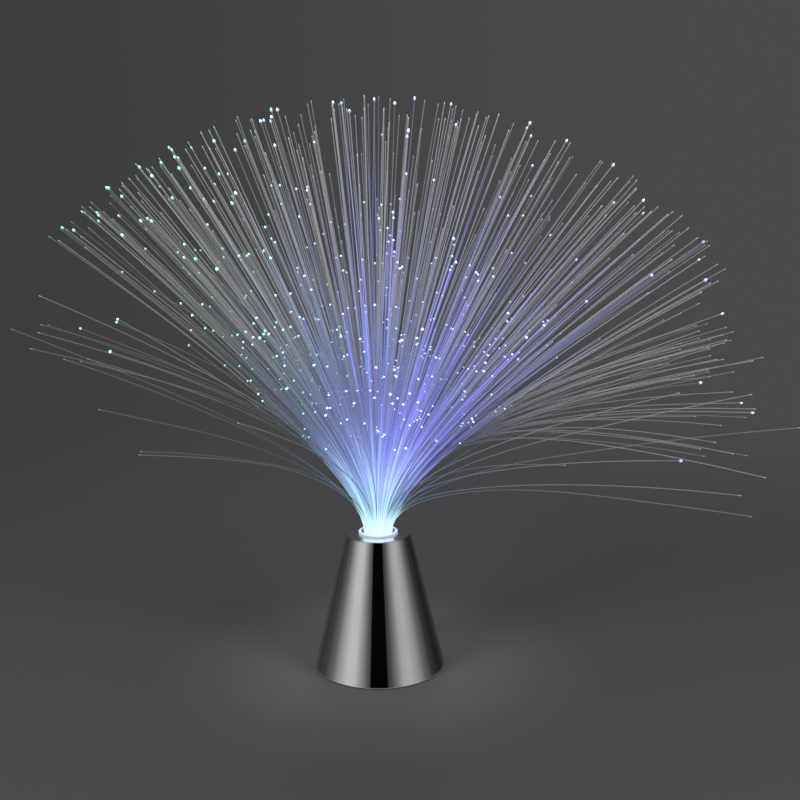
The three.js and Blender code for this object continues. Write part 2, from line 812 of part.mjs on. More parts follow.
function ledBoard() {
  const disc = cylinder(boardRadius, boardBottom, boardTop);
  const hole = (radius) => cylinder(radius, boardBottom - overrun, boardTop + overrun, smallFacets);
  const screwHole = hole(boardScrewShankRadius + seatGap);
  const leadHole = hole(boardHoleRadius);
  const holes = [-1, 1].flatMap((side) => [
    at(screwHole, side * boardScrewCircle, 0),
    at(leadHole, (side * ledLeadSpacing) / 2, 0),
  ]);
  return disc.subtract(joined(holes));
}

// Dome-topped LED whose two leads pass through the board
function ledLamp() {
  const dome = new THREE.Path();
  dome.moveTo(0, holderBottom);
  dome.lineTo(ledFlangeRadius, holderBottom);
  dome.lineTo(ledFlangeRadius, holderBottom + ledFlangeHeight);
  dome.lineTo(ledRadius, holderBottom + ledFlangeHeight);
  dome.lineTo(ledRadius, holderBottom + ledHeight - ledRadius);
  dome.absarc(0, holderBottom + ledHeight - ledRadius, ledRadius, 0, Math.PI / 2);
  const lens = turned(dome.getPoints(4).map((p) => [Math.max(p.x, 0), p.y]), 16);
  const half = ledLeadWidth / 2;
  const length = [boardBottom - leadTail, holderBottom + ledFlangeHeight / 2];
  const leads = [-1, 1].map((side) => {
    const x = (side * ledLeadSpacing) / 2;
    return block([x - half, x + half], [-half, half], length);
  });
  return joined([lens, ...leads]);
}

// Eight-leg driver chip under the board
function driverChip() {
  const top = boardBottom - seatGap;
  const body = block(
    [-chipLength / 2, chipLength / 2],
    [-chipWidth / 2, chipWidth / 2],
    [top - chipHeight, top - chipHeight / 5],
  );
  const legs = [-1.5, -0.5, 0.5, 1.5].map((i) => {
    const x = i * chipLegPitch;
    const reach = chipWidth / 2 + chipLegReach;
    return block([x - chipLegWidth / 2, x + chipLegWidth / 2], [-reach, reach], [top - chipHeight / 3, top]);
  });
  return at(joined([body, ...legs]), 0, boardRadius * chipShare);
}

function resistor() {
  const barrel = turned(
    [
      [0, -resistorLength / 2],
      [resistorRadius, -resistorLength / 2],
      [resistorRadius, resistorLength / 2],
      [0, resistorLength / 2],
    ],
    smallFacets,
  ).rotate([0, 90, 0]);
  const half = resistorLeadWidth / 2;
  const top = resistorRadius;
  const leads = [-1, 1].map((side) => {
    const x = (side * resistorLength) / 2;
    const span = side > 0 ? [x - half, x + 2 * half] : [x - 2 * half, x + half];
    return block(span, [-half, half], [-half, top]);
  });
  return joined([barrel, ...leads]).translate([0, -boardRadius * resistorShare, boardBottom - seatGap - top]);
}

// Hook-up wires: from the cells' positive end to the switch, from the switch to the board, and back
function hookUpWires() {
  const tailTop = boxTop + tailRise + seatGap;
  const pinTop = frameTop + seatGap + switchBoardThickness + switchPinRise + seatGap;
  const padZ = boardBottom - seatGap;
  const padX = boardRadius * padShare * Math.cos(radians(padAngle));
  const padY = boardRadius * padShare * Math.sin(radians(padAngle));
  const v = (x, y, z) => new THREE.Vector3(x, y, z);
  const crest = Math.max(tailTop, pinTop) + wireRoom;
  return {
    wire_feed: [
      v(-tailX, lanes[0], tailTop),
      v(-tailX, lanes[0], tailTop + wireRoom),
      v(-tailX + wireBow, 0, crest),
      v(-switchPinPitch - wireBow, switchCentreY - wireBow, crest),
      v(-switchPinPitch, switchCentreY, pinTop + wireRoom / 2),
      v(-switchPinPitch, switchCentreY, pinTop),
    ],
    wire_switched: [
      v(0, switchCentreY, pinTop),
      v(0, switchCentreY, pinTop + wireRoom),
      v(-padX - wireBow, switchCentreY - wireBow, (pinTop + padZ) / 2),
      v(-padX, padY, padZ - wireRoom),
      v(-padX, padY, padZ),
    ],
    wire_return: [
      v(tailX, lanes[2], tailTop),
      v(tailX, lanes[2], tailTop + wireRoom),
      v(padX + wireBow, padY, (tailTop + padZ) / 2),
      v(padX, padY, padZ - wireRoom),
      v(padX, padY, padZ),
    ],
  };
}

// Fibre spray

// A share from 0 to 1 that looks random but is the same each time
function scatter(index, stride) {
  return (index * stride) % 1;
}

// Where a fibre of the spray ends
function sprayTip(circle, azimuth, index) {
  const most = sprayAngle + sprayLean * Math.cos(azimuth);
  const wander = wanderShare * (scatter(index, Math.sqrt(3)) - 0.5);
  const angle = radians(most * (circle + wander)) / lastCircle;
  const tufted = azimuth + (tuftShare / tuftCount) * Math.sin(tuftCount * azimuth);
  return tipAt(tufted, angle, fibreReach);
}

// A point at a distance from the middle of the bundle's top
function tipAt(azimuth, angle, distance) {
  const out = distance * Math.sin(angle);
  return new THREE.Vector3(
    out * Math.cos(azimuth),
    out * Math.sin(azimuth),
    bundleTop + distance * Math.cos(angle),
  );
}

// Each fibre's circle, its azimuth in the bundle, its tip and the share of its curve that it has
function fibreList() {
  const goldenAngle = Math.PI * (3 - Math.sqrt(5));
  const fibres = [];
  for (let circle = 0; circle <= lastCircle; circle++) {
    const count = Math.max(1, circle * fibresPerStep);
    for (let i = 0; i < count; i++) {
      const index = fibres.length;
      const azimuth = circle * goldenAngle + (2 * Math.PI * i) / count;
      const cut = shortestShare + (1 - shortestShare) * scatter(index, Math.sqrt(7));
      const share = scatter(index, Math.SQRT2) < fullShare ? 1 : cut;
      fibres.push({ circle, azimuth, tip: sprayTip(circle, azimuth, index), share });
    }
  }
  return fibres;
}

// The tips of the strays, by azimuth in degrees
function strayTips() {
  const far = farStrays.map(([azimuth, angle]) => {
    const along = Math.max(Math.abs(Math.cos(radians(azimuth))), Math.abs(Math.sin(radians(azimuth))));
    return [azimuth, angle, strayReach / along / Math.sin(radians(angle))];
  });
  const others = strayShares.map(([azimuth, angle, share]) => [azimuth, angle, share * fibreReach]);
  return [...far, ...others].map(([azimuth, angle, distance]) => ({
    azimuth: radians(azimuth),
    tip: tipAt(radians(azimuth), radians(angle), distance),
  }));
}

// Each stray takes over the fibre of the outermost circle that starts nearest its own azimuth.
function withStrays(fibres) {
  const free = fibres.filter((fibre) => fibre.circle === lastCircle);
  strayTips().forEach(({ azimuth, tip }) => {
    free.sort((a, b) => turnBetween(a.azimuth, azimuth) - turnBetween(b.azimuth, azimuth));
    Object.assign(free.shift(), { tip, share: 1 });
  });
  return fibres;
}

function turnBetween(a, b) {
  return Math.abs(Math.atan2(Math.sin(a - b), Math.cos(a - b)));
}

function bendSharesOf(circle) {
  if (circle === lastCircle) return edgeBendShares;
  return circle > middleCircles ? bendShares : middleBendShares;
}

// One three-sided strand from inside its potting to its tip
function strandGeometry({ circle, azimuth, tip, share }) {
  const outwards = new THREE.Vector3(Math.cos(azimuth), Math.sin(azimuth), 0);
  const root = outwards.clone().multiplyScalar(circleRadius(circle)).setZ(bundleTop);
  const bend = root.clone().setZ(bundleTop + fibreRise);
  const curve = new THREE.QuadraticBezierCurve3(root, bend, tip);
  const stations = [...bendSharesOf(circle).filter((station) => station < share), share];
  const points = [];
  const faces = [];
  stations.forEach((station, i) => {
    const run = curve.getTangent(stations[Math.max(i, 1)]);
    const centre = i ? curve.getPoint(station) : root.clone().setZ(bundleTop - fibreThickness);
    const across = new THREE.Vector3().crossVectors(run, outwards).normalize();
    const up = new THREE.Vector3().crossVectors(across, run).normalize();
    for (let k = 0; k < 3; k++) {
      const turn = (2 * Math.PI * k) / 3;
      const offset = across.clone().multiplyScalar(Math.cos(turn)).addScaledVector(up, Math.sin(turn));
      points.push(...centre.clone().addScaledVector(offset, fibreThickness / 2).toArray());
      if (i) {
        const [a, b] = [3 * i - 3 + k, 3 * i - 3 + ((k + 1) % 3)];
        faces.push(a, b, b + 3, a, b + 3, a + 3);
      }
    }
  });
  const last = 3 * stations.length - 3;
  faces.push(0, 2, 1, last, last + 1, last + 2);
  const geometry = new THREE.BufferGeometry();
  geometry.setAttribute("position", new THREE.BufferAttribute(new Float32Array(points), 3));
  geometry.setIndex(faces);
  return geometry;
}

// One ring of the potted bundle with the strands that stand in it
function fibreRing(ring, fibres) {
  const between = (circle) => circleRadius(circle) + (fibrePitch + seatGap) / 2;
  const last = rings[ring].lastCircle;
  const edge = last === lastCircle ? bundleRadius : between(last) - seatGap / 2;
  const face = [[edge, bundleBottom], [edge, bundleTop]];
  const hole = ring ? between(rings[ring - 1].lastCircle) + seatGap / 2 : 0;
  const profile = [[hole, bundleBottom], ...face, [hole, bundleTop]];
  if (ring) profile.push(profile[0]);
  const strands = fibres.filter((fibre) => ringOf(fibre.circle) === ring).map(strandGeometry);
  return turned(profile).add(solidOf(mergeGeometries(strands)));
}

add("base_shell", baseShell(), chrome);
add("base_plate", basePlate(), blackPlastic);
add("battery_door", batteryDoor(), blackPlastic);
add("switch_frame", switchFrame(), steel);
add("switch_board", switchBoard(), { color: 0x6b4a2c, roughness: 0.7 });
add("switch_knob", switchKnob(), { color: 0x2a2a2b, roughness: 0.4 });
lanes.forEach((y, lane) => {
  add("battery_" + (lane + 1), at(dryCell(nubEnd(lane)), 0, y, cellAxis), cellWrap);
});
Object.entries(strips).forEach(([name, strip]) => add(name, contactStrip(strip), steel));
corners.forEach(([sx, sy], i) => {
  const seat = plateLift + screwHeadHeight + seatGap;
  const body = screw(seat, {
    headRadius: screwHeadRadius,
    headHeight: screwHeadHeight,
    shankRadius: screwShankRadius,
    length: screwLength,
  });
  add("plate_screw_" + (i + 1), at(body, sx * screwX, sy * screwY), steel);
  add("foot_" + (i + 1), foot(i), rubber);
});
add("bundle_collar", bundleCollar(), frosted);
add("collar_nut", collarNut(), blackPlastic);
add("led_holder", ledHolder(), whitePlastic);
add("led_board", ledBoard(), greenBoard);
add("led_lamp", ledLamp(), frosted);
add("driver_chip", driverChip(), blackPlastic);
add("board_resistor", resistor(), { color: 0xcdb592, roughness: 0.5 });
[-1, 1].forEach((side, i) => {
  const body = screw(boardBottom - seatGap, {
    headRadius: boardScrewHeadRadius,
    headHeight: boardScrewHeadHeight,
    shankRadius: boardScrewShankRadius,
    length: boardScrewLength,
  });
  add("board_screw_" + (i + 1), at(body, side * boardScrewCircle, 0), steel);
});
Object.entries(hookUpWires()).forEach(([name, points], i) => {
  add(name, wireAlong(points, wireRadius, 16), { color: [0xb02a22, 0xb02a22, 0x1c1c1c][i], roughness: 0.5 });
});
const fibres = withStrays(fibreList());
rings.forEach(({ name }, ring) => add(name, fibreRing(ring, fibres), clearFibre));

export default lamp;
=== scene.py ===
import math

import bmesh
import bpy
import numpy as np
from mathutils import Matrix, Vector


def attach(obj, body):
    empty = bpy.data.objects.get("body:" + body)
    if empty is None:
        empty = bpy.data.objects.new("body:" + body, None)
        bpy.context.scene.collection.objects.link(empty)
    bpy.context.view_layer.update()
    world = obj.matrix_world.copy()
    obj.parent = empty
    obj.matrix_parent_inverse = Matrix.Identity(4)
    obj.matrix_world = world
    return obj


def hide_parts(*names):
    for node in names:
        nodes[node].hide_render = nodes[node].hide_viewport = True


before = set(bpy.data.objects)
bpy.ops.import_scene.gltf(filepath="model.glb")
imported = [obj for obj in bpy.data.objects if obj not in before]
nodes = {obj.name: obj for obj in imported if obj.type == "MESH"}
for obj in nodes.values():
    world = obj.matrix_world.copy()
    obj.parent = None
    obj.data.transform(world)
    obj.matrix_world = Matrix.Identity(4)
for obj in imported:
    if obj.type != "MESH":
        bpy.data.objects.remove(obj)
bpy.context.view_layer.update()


# Camera
# A long lens in front of the lamp, a little above the collar. It looks slightly down and to the left,
# and is rolled by half a degree, as the photograph was taken.
mm = 0.001
lens_length = 54.4
camera_place = Vector((0, -685.9, 303.38)) * mm
camera_pan = math.radians(-1.147)
camera_drop = math.radians(11.628)
camera_roll = math.radians(-0.585)


def add_object(name, data):
    """A new object in the scene."""
    thing = bpy.data.objects.new(name, data)
    bpy.context.scene.collection.objects.link(thing)
    return thing


camera = add_object("camera", bpy.data.cameras.new("camera"))
camera.data.lens = lens_length
tilt = Matrix.Rotation(math.pi / 2 - camera_drop, 4, "X") @ Matrix.Rotation(camera_roll, 4, "Z")
camera.matrix_world = Matrix.Translation(camera_place) @ Matrix.Rotation(camera_pan, 4, "Z") @ tilt
bpy.context.scene.camera = camera
bpy.context.scene.view_settings.view_transform = "Standard"


# Studio
# A grey sheet lies under the lamp, with a pool of light painted on it close to the lamp, and fades into
# the backdrop. Two soft boxes light the lamp from the front, and one from behind. The shell mirrors
# none of these, only the world's upright bands.
# The backdrop has painted light: a little darker on the left and lighter on the right
backdrop_left = 0.047
backdrop_right = 0.068
backdrop_span = (-0.33, 0.25)
fill_light = 0.5
# What the shell mirrors, by direction round the lamp in degrees (0 is the camera's side, 90 is +X)
mirrored_bands = [
    (-180, 0.055), (-165, 0.055), (-150, 0.06), (-135, 0.035), (-110, 0.05), (-91, 0.13),
    (-75, 0.34), (-60, 0.53), (-46, 0.52), (-34, 0.28), (-23, 0.1), (-18.5, 0.075), (-16.5, 0.001),
    (12.5, 0.001), (14.5, 0.05), (19, 0.06), (29, 0.18), (41, 0.39), (54, 0.43), (69, 0.31),
    (84, 0.13), (102, 0.034), (125, 0.014), (140, 0.025), (155, 0.045), (180, 0.055),
]
overhead_grey = 0.16
overhead_span = (0.6, 0.95)
underneath_grey = 0.3
underneath_span = (-0.3, -0.7)
# Soft boxes: azimuth in degrees, height, distance, size and power
soft_boxes = {
    "left_box": (-48, 0.75, 1.15, 0.7, 11), "right_box": (48, 0.7, 1.15, 0.7, 10),
    "back_box": (176, 0.9, 1.3, 0.8, 7),
}
aim_height = 0.14
floor_radius = 0.9
floor_corners = 96
# The pool of light painted on the sheet round the lamp: its grey, the grey further out, and its span
painted_pool_grey = (0.088, 0.088, 0.09)
floor_dark = (0.053, 0.053, 0.055)
painted_light_pool = (0.03, 0.14)
floor_fade = (0.3, 0.8)


def feed(tree, node, inputs):
    """Gives a node its inputs, by name or number, as values or as sockets to link."""
    for name, value in inputs.items():
        if isinstance(value, bpy.types.NodeSocket):
            tree.links.new(value, node.inputs[name])
        else:
            node.inputs[name].default_value = value


def place(tree, kind, inputs=None, **settings):
    """Adds a node with its settings and inputs to a tree."""
    node = tree.nodes.new(kind)
    for name, value in settings.items():
        setattr(node, name, value)
    feed(tree, node, inputs or {})
    return node


def math_of(tree, operation, a, b=0.0, c=0.5):
    return place(tree, "ShaderNodeMath", {0: a, 1: b, 2: c}, operation=operation).outputs[0]


def rgba(tone):
    """A grey or a colour with its alpha, or a socket as it is."""
    if isinstance(tone, bpy.types.NodeSocket):
        return tone
    return (tone, tone, tone, 1) if isinstance(tone, (int, float)) else (*tone, 1)


def ramp_of(tree, factor, stops):
    """A colour ramp whose stops are (position, grey or colour)."""
    node = place(tree, "ShaderNodeValToRGB", {0: factor})
    elements = node.color_ramp.elements
    elements.remove(elements[1])
    elements[0].position = stops[0][0]
    for position, tone in stops:
        element = elements[0] if position == stops[0][0] else elements.new(position)
        element.color = rgba(tone)
    return node.outputs["Color"]


def range_of(tree, value, low, high, to_low=0.0, to_high=1.0, kind="SMOOTHSTEP"):
    inputs = {"Value": value, "From Min": low, "From Max": high, "To Min": to_low, "To Max": to_high}
    return place(tree, "ShaderNodeMapRange", inputs, interpolation_type=kind).outputs["Result"]


def mix_of(tree, factor, a, b, blend="MIX"):
    inputs = {0: factor, 6: rgba(a), 7: rgba(b)}
    return place(tree, "ShaderNodeMix", inputs, data_type="RGBA", blend_type=blend).outputs[2]


def on_piece(tree):
    """Where a point lies on its piece, in metres."""
    return place(tree, "ShaderNodeTexCoord").outputs["Object"]


def split(tree, vector):
    return place(tree, "ShaderNodeSeparateXYZ", {0: vector}).outputs


def noise_of(tree, where, scale, detail, distortion=0.0):
    inputs = {"Vector": where, "Scale": scale, "Detail": detail, "Distortion": distortion}
    return place(tree, "ShaderNodeTexNoise", inputs).outputs


def light_the_world():
    world = bpy.data.worlds.new("studio")
    world.use_nodes = True
    tree = world.node_tree
    tree.nodes.clear()
    direction = place(tree, "ShaderNodeTexCoord").outputs["Generated"]
    x, y, z = split(tree, direction)
    turn = math_of(tree, "ARCTAN2", x, math_of(tree, "MULTIPLY", y, -1.0))
    around = math_of(tree, "MULTIPLY_ADD", turn, 0.5 / math.pi, 0.5)
    bands = ramp_of(tree, around, [(degrees / 360 + 0.5, tone) for degrees, tone in mirrored_bands])
    upper = mix_of(tree, range_of(tree, z, *overhead_span), bands, overhead_grey)
    mirrored = mix_of(tree, range_of(tree, z, *underneath_span), upper, underneath_grey)
    # painted light on the backdrop, darker on the left and lighter on the right
    across = range_of(tree, x, *backdrop_span)
    backdrop = ramp_of(tree, across, [(0, backdrop_left), (1, backdrop_right)])
    paths = place(tree, "ShaderNodeLightPath").outputs
    seen = math_of(tree, "MAXIMUM", paths["Is Camera Ray"], paths["Is Transmission Ray"])
    lit = mix_of(tree, paths["Is Glossy Ray"], fill_light, mirrored)
    shown = mix_of(tree, seen, lit, backdrop)
    background = place(tree, "ShaderNodeBackground", {"Color": shown})
    place(tree, "ShaderNodeOutputWorld", {"Surface": background.outputs[0]})
    bpy.context.scene.world = world


def soft_box(name, azimuth, height, distance, size, power):
    light = add_object(name, bpy.data.lights.new(name, "AREA"))
    light.data.shape = "DISK"
    light.data.size = size
    light.data.energy = power
    turn = math.radians(azimuth)
    light.location = (distance * math.sin(turn), -distance * math.cos(turn), height)
    aim = Vector((0, 0, aim_height)) - light.location
    light.rotation_euler = aim.to_track_quat("-Z", "Y").to_euler()
    light.visible_camera = False
    light.visible_glossy = False


def link_mesh(name, points, faces, material=None):
    mesh = bpy.data.meshes.new(name)
    mesh.from_pydata(points, [], faces)
    if material:
        mesh.materials.append(material)
    return add_object(name, mesh)


def shader_of(name):
    """A new material with a Principled shader, and its tree."""
    material = bpy.data.materials.new(name)
    material.use_nodes = True
    tree = material.node_tree
    tree.nodes.clear()
    shader = place(tree, "ShaderNodeBsdfPrincipled")
    place(tree, "ShaderNodeOutputMaterial", {"Surface": shader.outputs[0]})
    return material, tree


def join_up(material, **inputs):
    """Feeds the sockets of a material's shader, named with underscores for spaces."""
    tree = material.node_tree
    named = {name.replace("_", " "): value for name, value in inputs.items()}
    feed(tree, tree.nodes["Principled BSDF"], named)
    return material


def floor_paper():
    material, tree = shader_of("floor_paper")
    where = on_piece(tree)
    reach = place(tree, "ShaderNodeVectorMath", {0: where}, operation="LENGTH").outputs["Value"]
    # painted pool of light: the sheet is paler near the lamp and darker further out
    tone = mix_of(tree, range_of(tree, reach, *painted_light_pool), painted_pool_grey, floor_dark)
    flecked = mix_of(tree, 0.04, tone, noise_of(tree, where, 900.0, 3.0)["Color"], "OVERLAY")
    paper = tree.nodes["Principled BSDF"].outputs[0]
    clear = place(tree, "ShaderNodeBsdfTransparent").outputs[0]
    behind = place(tree, "ShaderNodeNewGeometry").outputs["Backfacing"]
    fade = math_of(tree, "MAXIMUM", range_of(tree, reach, *floor_fade), behind)
    mixed = place(tree, "ShaderNodeMixShader", {0: fade, 1: paper, 2: clear}).outputs[0]
    tree.links.new(mixed, tree.nodes["Material Output"].inputs["Surface"])
    return join_up(material, Base_Color=flecked, Roughness=0.9, Specular_IOR_Level=0.0)


light_the_world()
for name, values in soft_boxes.items():
    soft_box(name, *values)
turns = np.linspace(0, 2 * math.pi, floor_corners, endpoint=False)
edge = [(floor_radius * math.cos(turn), floor_radius * math.sin(turn), 0) for turn in turns]
floor = link_mesh("floor", edge, [tuple(range(floor_corners))], floor_paper())
floor.visible_glossy = False
floor.visible_diffuse = False


# Shell
# A conical moulding of ABS plastic, plated to a mirror in a vacuum. Its crown is flat with a hole for
# the collar, and four bosses inside take the base plate's screws.
rim_radius = 38.96
rim_lift = 0.8
crown_radius = 19.3
shell_height = 82.4
shell_wall = 2.0
crown_thickness = 2.2
crown_hole_radius = 10.105
rim_round = 0.6
crown_round = 0.8
crown_haze = 0.2
boss_radius = 3.2
boss_bottom = 4.5
boss_top = 19.7
pilot_radius = 1.5
pilot_top = 16.5
screw_x = 21.16
screw_y = 21.25
boss_places = [
    (screw_x, screw_y, 0), (-screw_x, screw_y, 0), (-screw_x, -screw_y, 0), (screw_x, -screw_y, 0),
]


def filleted(corners, steps=6, guard=0.12):
    """An outline of (radius, height, fillet) corners with its fillets cut, and close points beside them
    that keep the flats' shading flat."""
    points = []
    for i, (r, z, fillet) in enumerate(corners):
        here = Vector((r, z))
        if not fillet:
            points.append(here)
            continue
        before = (Vector(corners[i - 1][:2]) - here).normalized()
        after = (Vector(corners[(i + 1) % len(corners)][:2]) - here).normalized()
        start, end = here + before * fillet, here + after * fillet
        points.append(start + before * guard)
        for k in range(steps + 1):
            t = k / steps
            points.append(start * (1 - t) ** 2 + here * 2 * t * (1 - t) + end * t**2)
        points.append(end + after * guard)
    return [(p.x, p.y) for p in points]


def spun(name, outline, steps, material, closed=False):
    """A solid turned about Z from an outline in millimetres. A closed outline makes a ring."""
    angles = np.linspace(0, 2 * math.pi, steps, endpoint=False)
    points, rows = [], []
    for radius, height in outline:
        around = [angles[0]] if radius < 1e-6 else angles
        rows.append(range(len(points), len(points) + len(around)))
        points += [(radius * math.cos(a) * mm, radius * math.sin(a) * mm, height * mm) for a in around]
    faces = []
    pairs = list(zip(rows, rows[1:])) + ([(rows[-1], rows[0])] if closed else [])
    for low, high in pairs:
        for i in range(steps):
            j = (i + 1) % steps
            quad = (low[i % len(low)], low[j % len(low)], high[j % len(high)], high[i % len(high)])
            faces.append(tuple(dict.fromkeys(quad)))
    piece = link_mesh(name, points, [face for face in faces if len(face) > 2], material)
    return smoothed(piece)


def smoothed(piece, sharp=38):
    """Makes a mesh's faces point outwards and shades it smooth between its sharp edges."""
    shape = bmesh.new()
    shape.from_mesh(piece.data)
    bmesh.ops.remove_doubles(shape, verts=shape.verts, dist=1e-7)
    bmesh.ops.recalc_face_normals(shape, faces=shape.faces)
    shape.to_mesh(piece.data)
    shape.free()
    piece.data.shade_smooth()
    piece.data.set_sharp_from_angle(angle=math.radians(sharp))
    return piece


def seat(piece, body, slot, *stands_for):
    """Fixes a finished piece to a body and hides the CAD nodes that it stands for. Its slot is not used."""
    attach(piece, body)
    if stands_for:
        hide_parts(*stands_for)


def skin_group(name, scale, *outputs):
    """An empty shader group with a Scale input, and the two sockets that its patterns start from."""
    tree = bpy.data.node_groups.new(name, "ShaderNodeTree")
    tree.interface.new_socket("Scale", in_out="INPUT", socket_type="NodeSocketFloat").default_value = scale
    for output in outputs:
        tree.interface.new_socket(output, in_out="OUTPUT", socket_type="NodeSocketFloat")
    return tree, place(tree, "NodeGroupInput").outputs["Scale"], on_piece(tree)


def finger_marks():
    """Shader group: where handling has left a faint film, 0 to 1, and the film's slight unevenness."""
    tree, size, where = skin_group("finger_marks", 30, "Film", "Height")
    cloud = noise_of(tree, where, size, 5.0, distortion=0.8)[0]
    fine = noise_of(tree, where, math_of(tree, "MULTIPLY", size, 9.0), 2.0)[0]
    place(tree, "NodeGroupOutput", {"Film": range_of(tree, cloud, 0.5, 0.75), "Height": fine})
    return tree


def group_of(tree, group, **inputs):
    return place(tree, "ShaderNodeGroup", inputs, node_tree=group).outputs


def bump_of(tree, strength, distance, height):
    inputs = {"Strength": strength, "Distance": distance, "Height": height}
    return place(tree, "ShaderNodeBump", inputs).outputs[0]


def plain_mesh(piece):
    """The mesh that an object comes to with its modifiers."""
    bpy.context.view_layer.update()
    return bpy.data.meshes.new_from_object(piece.evaluated_get(bpy.context.evaluated_depsgraph_get()))


def made_with(points, tree, **inputs):
    """A plain mesh object from points and a Geometry Nodes tree with its inputs."""
    modifier = points.modifiers.new("tree", "NODES")
    modifier.node_group = tree
    sockets = {item.name: item.identifier for item in tree.interface.items_tree if item.in_out == "INPUT"}
    for name, value in inputs.items():
        modifier[sockets[name.replace("_", " ")]] = value
    mesh = plain_mesh(points)
    name = points.name
    bpy.data.objects.remove(points)
    mesh.name = name
    return add_object(name, mesh)


def geometry_tree(name, inputs):
    """A Geometry Nodes tree that takes and gives geometry, and what its group input holds."""
    tree = bpy.data.node_groups.new(name, "GeometryNodeTree")
    for label, kind in {"Geometry": "Geometry", **inputs, "Finish": "Material"}.items():
        tree.interface.new_socket(label, in_out="INPUT", socket_type="NodeSocket" + kind)
    tree.interface.new_socket("Geometry", in_out="OUTPUT", socket_type="NodeSocketGeometry")
    return tree, place(tree, "NodeGroupInput").outputs


def end_tree(tree, geometry, finish):
    whole = place(tree, "GeometryNodeRealizeInstances", {0: geometry}).outputs[0]
    finished = place(tree, "GeometryNodeSetMaterial", {"Geometry": whole, "Material": finish})
    place(tree, "NodeGroupOutput", {0: finished.outputs[0]})
    return tree


def copies_tree():
    """Geometry Nodes: sets a copy of one part on every point."""
    tree, given = geometry_tree("copies_on_points", {"Part": "Object"})
    part = place(tree, "GeometryNodeObjectInfo", {"Object": given["Part"]}).outputs["Geometry"]
    copies = place(tree, "GeometryNodeInstanceOnPoints", {"Points": given["Geometry"], "Instance": part})
    return end_tree(tree, copies.outputs[0], given["Finish"])


marks = finger_marks()
copies = copies_tree()


def set_out(name, part, places, material):
    """One mesh of copies of a part, at places in millimetres. The part itself is used up."""
    points = link_mesh(name, [Vector(spot) * mm for spot in places], [])
    piece = made_with(points, copies, Part=part, Finish=material)
    bpy.data.objects.remove(part)
    return piece


def mirror_plating():
    material, tree = shader_of("mirror_plating")
    film = group_of(tree, marks, Scale=38.0)
    tone = mix_of(tree, film["Film"], (0.9, 0.9, 0.905), (0.84, 0.845, 0.85))
    height = split(tree, on_piece(tree))["Z"]
    on_crown = range_of(tree, height, (shell_height - 0.3) * mm, shell_height * mm, 0.0, crown_haze)
    return join_up(
        material, Base_Color=tone, Metallic=1.0, Normal=bump_of(tree, 0.012, 0.0002, film["Height"]),
        Roughness=math_of(tree, "ADD", range_of(tree, film["Film"], 0.0, 1.0, 0.045, 0.1), on_crown),
    )


plating = mirror_plating()
slope = (rim_radius - crown_radius) / (shell_height - rim_lift)
inner_crown = shell_height - crown_thickness
shell_outline = filleted([
    (rim_radius, rim_lift, rim_round),
    (crown_radius, shell_height, crown_round),
    (crown_hole_radius, shell_height, 0.25),
    (crown_hole_radius, inner_crown, 0),
    (crown_radius + slope * crown_thickness - shell_wall, inner_crown, 0.5),
    (rim_radius - shell_wall, rim_lift, 0.3),
])
shell = spun("shell", shell_outline, 256, plating, closed=True)
boss_outline = filleted([
    (boss_radius, boss_bottom, 0.3), (boss_radius, boss_top, 0.6), (0, boss_top, 0), (0, pilot_top, 0),
    (pilot_radius, pilot_top, 0), (pilot_radius, boss_bottom, 0.2),
])
boss = spun("boss", boss_outline, 32, plating)
bosses = set_out("shell_bosses", boss, boss_places, plating)
for piece in (shell, bosses):
    seat(piece, "lamp", "plated_shell", "base_shell")


# Base plate
# A disc of black ABS plastic with the battery box standing on it, moulded in one piece. Its underside
# has a pebbled skin, and raised words beside the switch.
edge_ease = 0.12
eased_from = 50
letter_size = 2.7
letter_proud = 0.3
plate_under = 1.2
switch_y = 21.85
words = {"ON": -9.6, "OFF": 9.6}


def moulded_grain():
    """Shader group: a moulding's pebbled skin, as a height, and the slow drift of its shade, 0 to 1."""
    tree, size, where = skin_group("moulded_grain", 2500, "Height", "Shade")
    pebbles = place(tree, "ShaderNodeTexVoronoi", {"Vector": where, "Scale": size}, feature="SMOOTH_F1")
    drift = noise_of(tree, where, math_of(tree, "MULTIPLY", size, 0.03), 4.0)[0]
    place(tree, "NodeGroupOutput", {"Height": pebbles.outputs["Distance"], "Shade": drift})
    return tree


grain = moulded_grain()


def moulding(name, dark, light, scale=2500.0, rough=(0.38, 0.52), depth=0.3):
    """A moulded plastic or rubber whose skin has a grain."""
    material, tree = shader_of(name)
    skin = group_of(tree, grain, Scale=scale)
    tone = mix_of(tree, range_of(tree, skin["Shade"], 0.35, 0.65), dark, light)
    return join_up(
        material, Base_Color=tone, Normal=bump_of(tree, depth, 0.00006, skin["Height"]),
        Roughness=range_of(tree, skin["Shade"], 0.3, 0.7, *rough),
    )


def flats_kept(piece):
    """Turns the shading towards the larger faces, so that flats stay flat beside their eased edges."""
    piece.modifiers.new("flats", "WEIGHTED_NORMAL").keep_sharp = True
    mesh = plain_mesh(piece)
    piece.modifiers.clear()
    piece.data = mesh
    return piece


def eased(node, name, material, width=edge_ease, sharp=38):
    """A merged copy of a CAD solid with its sharp edges eased."""
    mesh = nodes[node].data.copy()
    mesh.name = name
    mesh.materials.clear()
    mesh.materials.append(material)
    piece = add_object(name, mesh)
    shape = bmesh.new()
    shape.from_mesh(mesh)
    bmesh.ops.remove_doubles(shape, verts=shape.verts, dist=1e-6)
    bmesh.ops.dissolve_limit(shape, angle_limit=math.radians(1), verts=shape.verts, edges=shape.edges)
    if width:
        least = math.radians(eased_from)
        edges = [edge for edge in shape.edges if edge.is_manifold and edge.calc_face_angle() > least]
        bmesh.ops.bevel(shape, geom=edges, offset=width * mm, segments=2, profile=0.5, affect="EDGES")
    shape.to_mesh(mesh)
    shape.free()
    mesh.attributes.remove(mesh.attributes["custom_normal"])
    return flats_kept(smoothed(piece, sharp)) if width else smoothed(piece, sharp)


